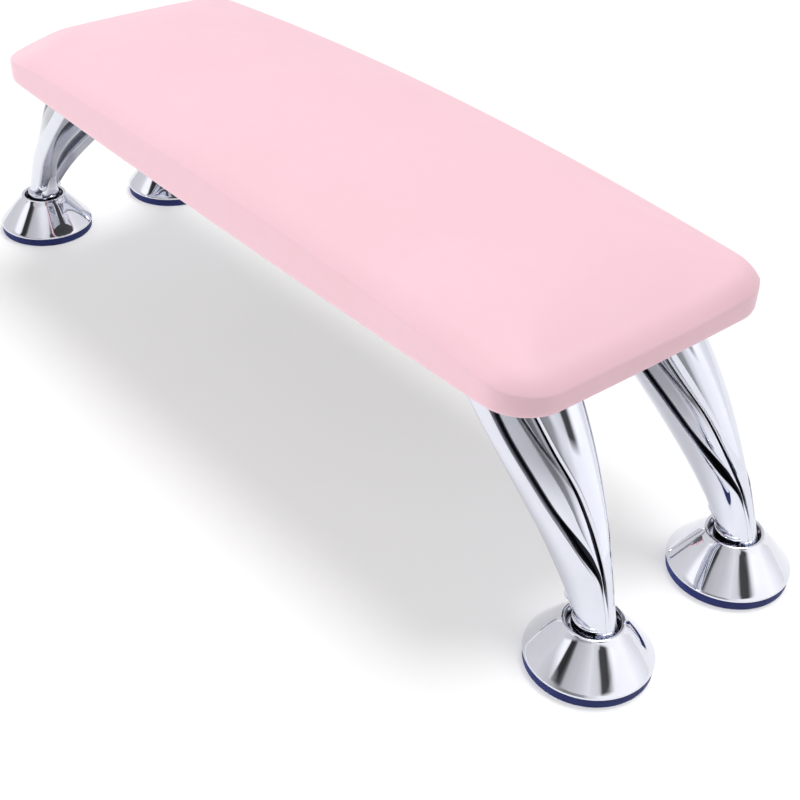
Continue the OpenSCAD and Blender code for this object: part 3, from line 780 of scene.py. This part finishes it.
def half_section(t, half_wide, end, turn):
    """(angle, depth, mask of dull plating and painted shade) from the front blade's ridge round one side to the
    rear corner at end.
    """
    taper = 0.3 + 0.7 * rise(t, 0.05, 0.35)
    w = math.asin(FRONT_SLIT_W / 2 * taper / half_wide)
    v = math.asin(REAR_SLIT_W / 2 * taper / half_wide)
    # Low down, the rear slit opens wider towards the strand
    wider = SLIT_WIDENS / half_wide * rise(t, 0.16, 0.3) * (1 - rise(t, 0.32, 0.5))
    a = math.radians(curve_at(t, SLIT_KNOTS, REAR_SLIT)) * (1 - turn * rise(t, 0.45, 1))
    b = math.radians(curve_at(t, SLIT_KNOTS, FRONT_SLIT))
    depth = SLIT_D * (0.05 + 0.95 * rise(t, 0.06, 0.3))
    round_off = EDGE_ROUND / half_wide
    ridge = RIDGE_H * rise(t, 0.1, 0.4)
    edge = b - w
    bevel = CHAMFER_D * rise(t, 0.15, 0.5)
    bevel_at = edge - min(CHAMFER_W / half_wide, 0.4 * edge)
    points = []
    for s in even(0, 1, 18):
        points.append((s * bevel_at, -ridge * (1 - s) ** 2, 0))
    points.append((bevel_at + 0.5 * (edge - bevel_at), 0.5 * bevel, 0))
    points.append((edge - round_off * 0.8, bevel + EDGE_DROP, 0))
    # The third value is the mask: painted shade darkens the slit's rounded edge and its walls
    points.append((edge, bevel + EDGE_ROUND * 0.6, 0.3))
    points.append((edge + 0.25 * w, min(depth, bevel + SLIT_LIP), 0.8))
    points.append((b - 0.25 * w, depth, 1))
    points.append((b + 0.15 * w, depth, 1))
    crest = min(1, (a - b) / math.radians(16)) * max(0, depth - STRAND_SINK)
    crease_at = CREASE_SHARE * rise(t, 0.5, 1.0)
    wider = min(wider, 0.5 * (a - b))
    for s in even(0.04, 0.96, 25):
        crease = rise(t, 0.55, 0.8) * math.exp(-((s - crease_at) / 0.04) ** 2)
        lower = STRAND_STEP * rise(t, 0.55, 0.9) * rise(crease_at + 0.06 - s, 0, 0.12)
        d = depth - crest * math.sin(math.pi * s) ** 0.24 + CREASE_D * crease + lower
        # Painted shade: the mask darkens the slit walls, the crease line, and the strand high up and in front
        # of its crease, standing in for dark reflections
        walls = max(0, 1 - min(s, 1 - s) / 0.05)
        dull_shade = STRAND_DULL_AND_SHADE * max(rise(t, 0.46, 0.72), rise(t, 0.55, 0.75) * rise(crease_at - s, 0, 0.04))
        points.append((b + (a - wider - b) * s, d, min(1, walls + 0.85 * crease + dull_shade)))
    points.append((a - wider - 0.15 * v, depth, 1))
    points.append((a + 0.25 * v, depth, 1))
    start = a + v
    points.append((start - 0.2 * v, min(depth, SLIT_LIP), 0.8))
    points.append((start, EDGE_ROUND * 0.6, 0.3))
    points.append((start + round_off * 0.8, EDGE_DROP, 0))
    for s in even(0, 1, 11)[1:]:
        drop, dull_shade = (EDGE_ROUND, LAND_DULL_AND_SHADE) if s == 1 else (0, 0)
        points.append((start + round_off + (end - start - round_off) * s, drop, dull_shade))
    return points


def leg_section(t):
    """One level section as (u, v, mask of dull plating and painted shade), u towards the pad's end and v
    towards its long edge.
    """
    drawn = bezier(FRONT_LINE, t)
    front = NECK_L / 2 - LEG_REACH * drawn
    neck_rear = NECK_L / 2 * math.cos(REAR_ANGLE)
    root_rear = NECK_L / 2 - LEG_REACH - ROOT_L
    rear = neck_rear + (root_rear - neck_rear) * bezier(REAR_LINE, t)
    a = (front - rear) / (1 - math.cos(REAR_ANGLE))
    b = NECK_W / 2 + (ROOT_W - NECK_W) / 2 * bezier(WIDTHS, t)
    middle = front - a
    flare = FLARE * rise(t, 0.9, 0.99) ** 2
    # The outer side flares out wider than the inner one and turns its rear corner forward
    wing = rise(t, 0.04, 0.36)
    outer_b = b * (1 + WING * wing)
    outer_end = REAR_ANGLE + (WING_ANGLE - REAR_ANGLE) * wing
    inner_half = [(-angle, d, m) for angle, d, m in reversed(half_section(t, b, REAR_ANGLE, 0))]
    points = []
    for angle, d, mask in inner_half[:-1] + half_section(t, outer_b, outer_end, WING_TURN):
        wide = outer_b if angle > 0 else b
        n = Vector((math.cos(angle) / a, math.sin(angle) / wide)).normalized()
        p = Vector((a * math.cos(angle), wide * math.sin(angle))) - (d - flare) * n
        points.append((p.x, p.y, mask))
    # The flat land and the leaf-shaped hollow of the rear face, both duller and darkened with painted shade
    first, last = Vector(points[-1][:2]), Vector(points[0][:2])
    along = (last - first).normalized()
    inwards = Vector((-along.y, along.x))
    rear_half = (last - first).length / 2
    s = (t - HOLLOW_LOW) / (HOLLOW_HIGH - HOLLOW_LOW)
    leaf = math.sin(math.pi * s ** LEAF_SKEW) ** LEAF_FILL if 0 < s < 1 else 0
    low = 1 - rise(t, 0, HOLLOW_LOW)
    tip = rear_half * (0.2 + 0.6 * low)
    outer = tip + max(0, rear_half - OUTER_LAND_W - tip) * leaf
    inner = tip + max(0, rear_half - INNER_LAND_W - tip) * leaf
    bulge = a * (1 + math.cos(REAR_ANGLE)) * low
    deep = HOLLOW_DEPTH * leaf
    face = []
    for share in (0.15, 0.5, 0.85):
        face.append((-bulge * 0.2 * share, rear_half + (outer - rear_half) * share, LAND_DULL_AND_SHADE))
    for i in range(HOLLOW_STEPS + 1):
        angle = math.pi * i / HOLLOW_STEPS
        c = math.cos(angle)
        inward = (deep - bulge) * max(0, math.sin(angle)) ** HOLLOW_POWER
        side = (outer - inner) / 2 + (outer + inner) / 2 * math.copysign(abs(c) ** HOLLOW_POWER, c)
        face.append((inward, side, OUTER_DULL_AND_SHADE + (INNER_DULL_AND_SHADE - OUTER_DULL_AND_SHADE) * i / HOLLOW_STEPS))
    for share in (0.85, 0.5, 0.15):
        face.append((-bulge * 0.2 * share, -rear_half - (inner - rear_half) * share, LAND_DULL_AND_SHADE))
    for inward, side, dull_shade in face:
        p = first + along * (rear_half - side) + inwards * inward
        points.append((p.x, p.y, dull_shade))
    turn = -SECTION_TURN * rise(t, 0, 0.5)
    shift = -LEG_LEAN * drawn
    c, s = math.cos(turn), math.sin(turn)
    return [(middle + u * c - v * s, u * s + v * c + shift, m) for u, v, m in points]


def leg_surface():
    """The flowing body of the leg, from inside its collar to inside its plate, with its mask of dull plating
    and painted shade.
    """
    leg_h = UNDERSIDE - NECK_Z
    low, high = -0.04, (PLATE_Z + PLATE_T / 2 - NECK_Z) / leg_h
    points, mask = [], []
    for t in even(low, high, LEG_ROWS):
        section = leg_section(t)
        points.extend((u, v, NECK_Z + leg_h * t) for u, v, m in section)
        mask.extend(m if m == LAND_DULL_AND_SHADE else m * rise(t, 0.02, 0.2) for u, v, m in section)
    return points, tube_faces(LEG_ROWS, len(points) // LEG_ROWS), mask


PLATE_L = PLATE_FRONT + ROOT_L + PLATE_TAB
PLATE_U = NECK_L / 2 - LEG_REACH + PLATE_FRONT - PLATE_L / 2
# Inset and height, in mm, of the rings round the plate's softened edges
PLATE_RINGS = ((0.6, 0), (0.15, 0.15), (0, 0.6), (0, 2.4), (0.15, 2.85), (0.6, 3))
CORNER_STEPS = 8


def plate_form():
    """The mounting plate with round corners and softened edges."""
    rings = []
    for inset, z in PLATE_RINGS:
        ring = []
        for quarter, (sx, sy) in enumerate(((1, 1), (-1, 1), (-1, -1), (1, -1))):
            for i in range(CORNER_STEPS + 1):
                angle = math.radians(90 * quarter + 90 * i / CORNER_STEPS)
                r = PLATE_R - inset * MM
                u = PLATE_U + sx * (PLATE_L / 2 - PLATE_R) + r * math.cos(angle)
                v = -LEG_LEAN + sy * (PLATE_W / 2 - PLATE_R) + r * math.sin(angle)
                ring.append((u, v, PLATE_Z + z * MM))
        rings.append(ring)
    return [p for ring in rings for p in ring], tube_faces(len(rings), len(rings[0]))


# Foot sizes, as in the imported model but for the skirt, which bulges less
CUP_R, LIP_OUT, LIP_H, LIP_R = 25.1 * MM, 12.2 * MM, 21.1 * MM, 0.9 * MM
SKIRT_EDGE, SKIRT_BULGE = 1 * MM, 0.2 * MM
RECESS_R = LIP_OUT - 2 * LIP_R
FLOOR_TOP, WASHER_T, WASHER_R = 15.6 * MM, 1.2 * MM, 9.5 * MM
SOLE_R, SOLE_T = 24.75 * MM, 4.2 * MM
CUP_WALL, STUD_HOLE_R = 2 * MM, 4.35 * MM
COLLAR_R, COLLAR_H = 8.4 * MM, 6.2 * MM
COLLAR_Z = FLOOR_TOP + WASHER_T
# Inside the cup: the floor's thickness, its rise towards the stud, and how far in from the rim it begins
FLOOR_T, FLOOR_RISE, FLOOR_INSET = 3 * MM, 0.1 * MM, 9 * MM
# Bevel on the skirt's inner edge
SKIRT_BEVEL_W, SKIRT_BEVEL_H = 0.4 * MM, 0.2 * MM
# Where the skirt turns from its upright edge to its cone
TURN_SHARE, TURN_IN, TURN_UP = 0.8, 0.15 * MM, 0.1 * MM
# Radii of the rounded edges
SKIRT_ROUND, RECESS_ROUND, COLLAR_LOW_ROUND, COLLAR_TOP_ROUND = 0.3 * MM, 0.5 * MM, 0.5 * MM, 1 * MM
WASHER_ROUND, WASHER_BEVEL, SOLE_LOW_ROUND, SOLE_TOP_ROUND = 0.4 * MM, 0.2 * MM, 0.6 * MM, 0.3 * MM
# Ribs under the sole: their inner radii, width and height, which is also how far their sides slope
RIB_RADII = [r * MM for r in (6, 10, 14, 18)]
RIB_W, RIB_H = 2.9 * MM, 0.3 * MM
ROUND_STEPS, SKIRT_STEPS, NUB_STEPS = 96, 17, 24
# Kept free between the washer and the cup that turns under it
SLIP_GAP = 0.04 * MM
# How dull the plating is inside the recess, and darkened there with painted shade, and how far that reaches
# past its wall
RECESS_DULL_AND_SHADE, RECESS_MARGIN = 0.75, 0.1 * MM


def arc(centre_r, centre_z, radius, start, end, steps):
    """Profile points along an arc, angles in degrees."""
    return [
        (centre_r + radius * math.cos(math.radians(a)), centre_z + radius * math.sin(math.radians(a)))
        for a in even(start, end, steps)
    ]


def collar_form():
    low, high = COLLAR_LOW_ROUND, COLLAR_TOP_ROUND
    profile = [(0, COLLAR_Z)] + arc(COLLAR_R - low, COLLAR_Z + low, low, -90, 0, 5)
    profile += arc(COLLAR_R - high, COLLAR_Z + COLLAR_H - high, high, 0, 90, 6)
    return lathe(profile + [(0, COLLAR_Z + COLLAR_H)], ROUND_STEPS)


def nub_forms():
    """The two round nubs low on the rear face, each a dome on a short barrel."""
    drawn = bezier(REAR_LINE, NUB_SHARE)
    neck_rear = NECK_L / 2 * math.cos(REAR_ANGLE)
    rear = neck_rear + (NECK_L / 2 - LEG_REACH - ROOT_L - neck_rear) * drawn
    half = (NECK_W / 2 + (ROOT_W - NECK_W) / 2 * bezier(WIDTHS, NUB_SHARE)) * math.sin(REAR_ANGLE)
    forms = []
    for side in (-1, 1):
        profile = [(0, -NUB_ROOT), (NUB_R, -NUB_ROOT)] + arc(0, 0, NUB_R, 0, 90, 7)[:-1] + [(0, NUB_R)]
        points, faces = lathe(profile, NUB_STEPS)
        place = (rear, side * (half - NUB_R), NECK_Z + (UNDERSIDE - NECK_Z) * NUB_SHARE)
        forms.append(([(place[0] - z, place[1] + y, place[2] + x) for x, y, z in points], faces))
    return forms


def add_mask(piece, values):
    """Stores how dull the plating is at each point, and how far painted shade darkens it."""
    piece.data.attributes.new("slit", "FLOAT", "POINT").data.foreach_set("value", values)


def make_leg(corner):
    body_points, body_faces, mask = leg_surface()
    points, faces = joined((body_points, body_faces), plate_form(), collar_form(), *nub_forms())
    sx, sy = CORNERS[corner]
    x, y = foot_axis(corner)
    placed = [(x + sx * u, y + sy * v, z) for u, v, z in points]
    piece = make_piece("leg_casting_" + corner, placed, faces, "leg_chrome", "pad", "leg_" + corner)
    add_mask(piece, mask + [0.0] * (len(points) - len(mask)))


def cup_profile():
    """Outline of the cup: its skirt from below, the lip, the recess, and back along the inside."""
    cone_low, cone_high = SOLE_T + SKIRT_EDGE, LIP_H - LIP_R
    profile = [(CUP_R - CUP_WALL, SOLE_T)]
    profile += arc(CUP_R - SKIRT_ROUND, SOLE_T + SKIRT_ROUND, SKIRT_ROUND, -90, 0, 4)
    profile += [(CUP_R, SOLE_T + SKIRT_EDGE * TURN_SHARE), (CUP_R - TURN_IN, cone_low + TURN_UP)]
    for s in even(0, 1, SKIRT_STEPS)[1:-1]:
        bulge = SKIRT_BULGE * math.sin(math.pi * s)
        profile.append((CUP_R + (LIP_OUT - CUP_R) * s + bulge, cone_low + (cone_high - cone_low) * s))
    profile += arc(LIP_OUT - LIP_R, cone_high, LIP_R, 25, 180, 9)
    profile += arc(RECESS_R - RECESS_ROUND, FLOOR_TOP + RECESS_ROUND, RECESS_ROUND, 0, -90, 5)
    profile += [(STUD_HOLE_R, FLOOR_TOP), (STUD_HOLE_R, FLOOR_TOP - FLOOR_T + FLOOR_RISE)]
    profile.append((CUP_R - FLOOR_INSET, FLOOR_TOP - FLOOR_T))
    profile.append((CUP_R - CUP_WALL - SKIRT_BEVEL_W, SOLE_T + SKIRT_BEVEL_H))
    return profile + profile[:1]


def washer_profile():
    low, high = FLOOR_TOP + SLIP_GAP, FLOOR_TOP + WASHER_T
    profile = [(STUD_HOLE_R, low), (WASHER_R - WASHER_BEVEL, low)]
    profile += arc(WASHER_R - WASHER_ROUND, high - WASHER_ROUND, WASHER_ROUND, 0, 90, 5)
    profile += [(STUD_HOLE_R + WASHER_BEVEL, high), (STUD_HOLE_R, high - WASHER_BEVEL)]
    return profile + profile[:1]


def sole_profile():
    profile = [(0, RIB_H)]
    for r in RIB_RADII:
        profile += [(r, RIB_H), (r + RIB_H, 0), (r + RIB_W - RIB_H, 0), (r + RIB_W, RIB_H)]
    profile += arc(SOLE_R - SOLE_LOW_ROUND, SOLE_LOW_ROUND, SOLE_LOW_ROUND, -90, 0, 5)
    profile += arc(SOLE_R - SOLE_TOP_ROUND, SOLE_T - SOLE_TOP_ROUND, SOLE_TOP_ROUND, 0, 90, 4)
    return profile + [(0, SOLE_T)]


def make_foot(corner):
    """The cup, washer and sole of one foot, turned as on a lathe."""
    body = "foot_" + corner
    centre = foot_axis(corner)
    points, faces = lathe(cup_profile(), ROUND_STEPS, centre)
    piece = make_piece("cup_" + corner, points, faces, "cup_chrome", body, "foot_cup_" + corner)
    recess_reach = RECESS_R + RECESS_MARGIN
    in_recess = [
        math.hypot(x - centre[0], y - centre[1]) < recess_reach and z < LIP_H - LIP_R for x, y, z in points
    ]
    # Painted shade and duller plating inside the cup's recess
    add_mask(piece, [RECESS_DULL_AND_SHADE * inside for inside in in_recess])
    points, faces = lathe(washer_profile(), ROUND_STEPS, centre)
    name = "washer_" + corner
    make_piece(name, points, faces, "washer_steel", name, "foot_" + name)
    points, faces = lathe(sole_profile(), ROUND_STEPS, centre)
    make_piece("sole_" + corner, points, faces, "sole_rubber", body, "foot_sole_" + corner)


# Screw sizes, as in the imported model, with the radii of the head's rings and how far its edge drops
HEAD_R, HEAD_H, SHANK_R = 4 * MM, 2.4 * MM, 1.95 * MM
SCREW_TIP = 113.3 * MM
HEAD_RINGS = [r * MM for r in (0, 0.5, 0.9, 1.3, 1.7, 2.0, 2.3, 2.7, 3.2, 3.7, 4.0)]
HEAD_DROP_SHARE = 0.45
# The cross recess: half its arms' width, their reach and depth
CROSS_HALF_W, CROSS_REACH, CROSS_D = 0.42 * MM, 2.2 * MM, 1.3 * MM
# The thread: its pitch, its core as shares of the shank along it and at its end, the plain point and the tip
THREAD_PITCH, CORE_SHARE, END_SHARE = 1.2 * MM, 0.78, 0.7
THREAD_END, POINT_L, TIP_R = 4 * MM, 3 * MM, 0.1 * MM
SCREW_STEPS = 48


def screw_form(u, v):
    """A pan head with a cross recess under the plate, on a threaded shank that ends in a point."""
    points = []

    def ring(r, height):
        for i in range(SCREW_STEPS):
            a = 2 * math.pi * i / SCREW_STEPS
            x, y = r * math.cos(a), r * math.sin(a)
            points.append((u + x, v + y, height(x, y)))

    for r in HEAD_RINGS:
        low = PLATE_Z - HEAD_H * (1 - HEAD_DROP_SHARE * (r / HEAD_R) ** 4)
        deep = CROSS_D if r < CROSS_REACH else 0
        ring(r, lambda x, y: low + (deep if min(abs(x), abs(y)) < CROSS_HALF_W else 0))
    shank = [(HEAD_R, PLATE_Z), (SHANK_R, PLATE_Z)]
    for k in range(int((SCREW_TIP - THREAD_END - PLATE_Z) / THREAD_PITCH)):
        z = PLATE_Z + (k + 0.5) * THREAD_PITCH
        shank += [(SHANK_R * CORE_SHARE, z), (SHANK_R, z + THREAD_PITCH / 2)]
    shank += [(SHANK_R * END_SHARE, SCREW_TIP - POINT_L), (TIP_R, SCREW_TIP)]
    for r, z in shank:
        ring(r, lambda x, y: z)
    return points, tube_faces(len(points) // SCREW_STEPS, SCREW_STEPS, False)


def make_screws(corner):
    sx, sy = CORNERS[corner]
    x, y = foot_axis(corner)
    forms = []
    for a in (-1, 1):
        for b in (-1, 1):
            u = PLATE_U + a * (PLATE_L / 2 - SCREW_EDGE)
            v = -LEG_LEAN + b * (PLATE_W / 2 - SCREW_SIDE)
            forms.append(screw_form(x + sx * u, y + sy * v))
    points, faces = joined(*forms)
    make_piece("screws_" + corner, points, faces, "screw_steel", "pad", "leg_screws_" + corner)


for corner in CORNERS:
    make_leg(corner)
    make_foot(corner)
    make_screws(corner)


# Floor, world and lamps

# The floor reaches this far on each side and lies a little below the soles
FLOOR_REACH, FLOOR_DROP = 4.0, 0.2 * MM


def make_floor():
    corners = ((-1, -1), (1, -1), (1, 1), (-1, 1))
    points = [(x * FLOOR_REACH, y * FLOOR_REACH, -FLOOR_DROP) for x, y in corners]
    data = bpy.data.meshes.new("floor")
    data.from_pydata(points, [], [(0, 1, 2, 3)])
    data.materials.append(floor_material())
    floor = bpy.data.objects.new("floor", data)
    bpy.context.scene.collection.objects.link(floor)


# What the metal reflects: the brightness of the studio by azimuth in degrees, high up and low down
STUDIO = (
    (-180, 0.62), (-140, 0.66), (-130, 0.8), (-120, 1.1), (-110, 1.08), (-107, 0.04), (-95, 0.03),
    (-88, 0.1), (-84, 0.5), (-60, 0.66), (-40, 0.84), (-23, 0.7), (-19, 0.07), (-10, 0.06), (-4, 0.3),
    (2, 0.85), (14, 1.15), (35, 1.15), (55, 0.88), (90, 0.76), (135, 0.64), (180, 0.62),
)
LOW_STUDIO = (
    (-180, 0.66), (-130, 0.72), (-110, 0.6), (-90, 0.34), (-74, 0.22), (-50, 0.34), (-40, 0.72),
    (-26, 0.98), (35, 1.12), (60, 0.86), (135, 0.66), (180, 0.66),
)
# The brightness that a ramp holds as full red, green and blue, and the strength of the whole studio
STUDIO_TOP, STUDIO_STRENGTH = (1.2, 1.2, 1.18), 1.32
# Heights on the unit sphere between which low turns into high and high into the ceiling
LOW_RANGE, CEILING_RANGE, CEILING_COLOUR = (0.41, 0.48), (0.76, 0.88), (0.8, 0.8, 0.83)
# How far, in radians, the edges of walls and flags waver, and over what stretch
WOBBLE, WOBBLE_SIZE = 0.09, 0.4
# The soft fill, and what it gains towards the pad's right end and loses towards its rear
SOFT_FILL, FILL_BY_X, FILL_BY_Y = 0.21, 0.08, -0.06
WHITE = (1, 1, 1, 1)


def band_ramp(tree, around, table):
    """A colour ramp round the room from a table of azimuths and brightness."""
    bands = node(tree, "ShaderNodeValToRGB")
    ramp = bands.color_ramp.elements
    while len(ramp) < len(table):
        ramp.new(0.5)
    for element, (azimuth, value) in zip(ramp, table):
        element.position = (azimuth + 180) / 360
        element.color = (*(value / top for top in STUDIO_TOP), 1)
    tree.links.new(around, bands.inputs["Fac"])
    return bands.outputs["Color"]


def make_world():
    """A pale room that fills in softly; polished metal sees its bright walls and dark flags."""
    world = bpy.data.worlds.new("studio")
    world.use_nodes = True
    bpy.context.scene.world = world
    tree = world.node_tree
    link = tree.links.new
    place = node(tree, "ShaderNodeTexCoord").outputs["Generated"]
    split = node(tree, "ShaderNodeSeparateXYZ")
    link(place, split.inputs["Vector"])
    soft = total(tree, total(tree, split.outputs["X"], FILL_BY_X, "MULTIPLY"), SOFT_FILL)
    soft = total(tree, soft, total(tree, split.outputs["Y"], FILL_BY_Y, "MULTIPLY"))
    fill = tree.nodes["Background"]
    link(soft, fill.inputs["Strength"])
    fill.inputs["Color"].default_value = WHITE
    turn = node(tree, "ShaderNodeMath", operation="ARCTAN2")
    link(split.outputs["Y"], turn.inputs[0])
    link(split.outputs["X"], turn.inputs[1])
    wobble = spread(tree, noise(tree, place, WOBBLE_SIZE, 2), -WOBBLE, WOBBLE)
    around = spread(tree, total(tree, turn.outputs["Value"], wobble), 0, 1, (-math.pi, math.pi))
    high = spread(tree, split.outputs["Z"], 0, 1, LOW_RANGE)
    seen = blend(tree, high, band_ramp(tree, around, LOW_STUDIO), band_ramp(tree, around, STUDIO))
    ceiling = spread(tree, split.outputs["Z"], 0, 1, CEILING_RANGE)
    seen = blend(tree, ceiling, seen, CEILING_COLOUR)
    flags = node(tree, "ShaderNodeBackground", Strength=STUDIO_STRENGTH)
    link(seen, flags.inputs["Color"])
    white = node(tree, "ShaderNodeBackground", Strength=1.0)
    white.inputs["Color"].default_value = WHITE
    path = node(tree, "ShaderNodeLightPath")
    glossy = node(tree, "ShaderNodeMixShader")
    link(path.outputs["Is Glossy Ray"], glossy.inputs["Fac"])
    link(fill.outputs["Background"], glossy.inputs[1])
    link(flags.outputs["Background"], glossy.inputs[2])
    final = node(tree, "ShaderNodeMixShader")
    link(path.outputs["Is Camera Ray"], final.inputs["Fac"])
    link(glossy.outputs["Shader"], final.inputs[1])
    link(white.outputs["Background"], final.inputs[2])
    link(final.outputs["Shader"], tree.nodes["World Output"].inputs["Surface"])


def make_sun(name, towards, strength, angle, shadow):
    """A far lamp; towards points from the scene to it."""
    data = bpy.data.lights.new(name, "SUN")
    data.energy = strength
    data.angle = math.radians(angle)
    data.use_shadow = shadow
    data.cycles.use_multiple_importance_sampling = shadow
    lamp = bpy.data.objects.new(name, data)
    lamp.rotation_euler = (-Vector(towards)).to_track_quat("-Z", "Y").to_euler()
    bpy.context.scene.collection.objects.link(lamp)
    return lamp


# Lamps: where they are seen from the object, and their strength; their angles in degrees give soft edges
KEY_TOWARDS, KEY_STRENGTH, KEY_ANGLE = (0.02, 0.27, 1), 1.3, 24
SOFT_LAMPS = (
    ("fill_softbox", (-0.55, -0.2, 0.81), 2.1),
    ("bounce_softbox", (-0.7, -0.7, -0.35), 1.3),
    ("end_softbox", (1, 0.6, 0.1), 0.48),
)
SOFT_ANGLE = 60

make_floor()
make_world()
make_sun("key_softbox", KEY_TOWARDS, KEY_STRENGTH, KEY_ANGLE, True)
for name, towards, strength in SOFT_LAMPS:
    make_sun(name, towards, strength, SOFT_ANGLE, False).visible_glossy = False
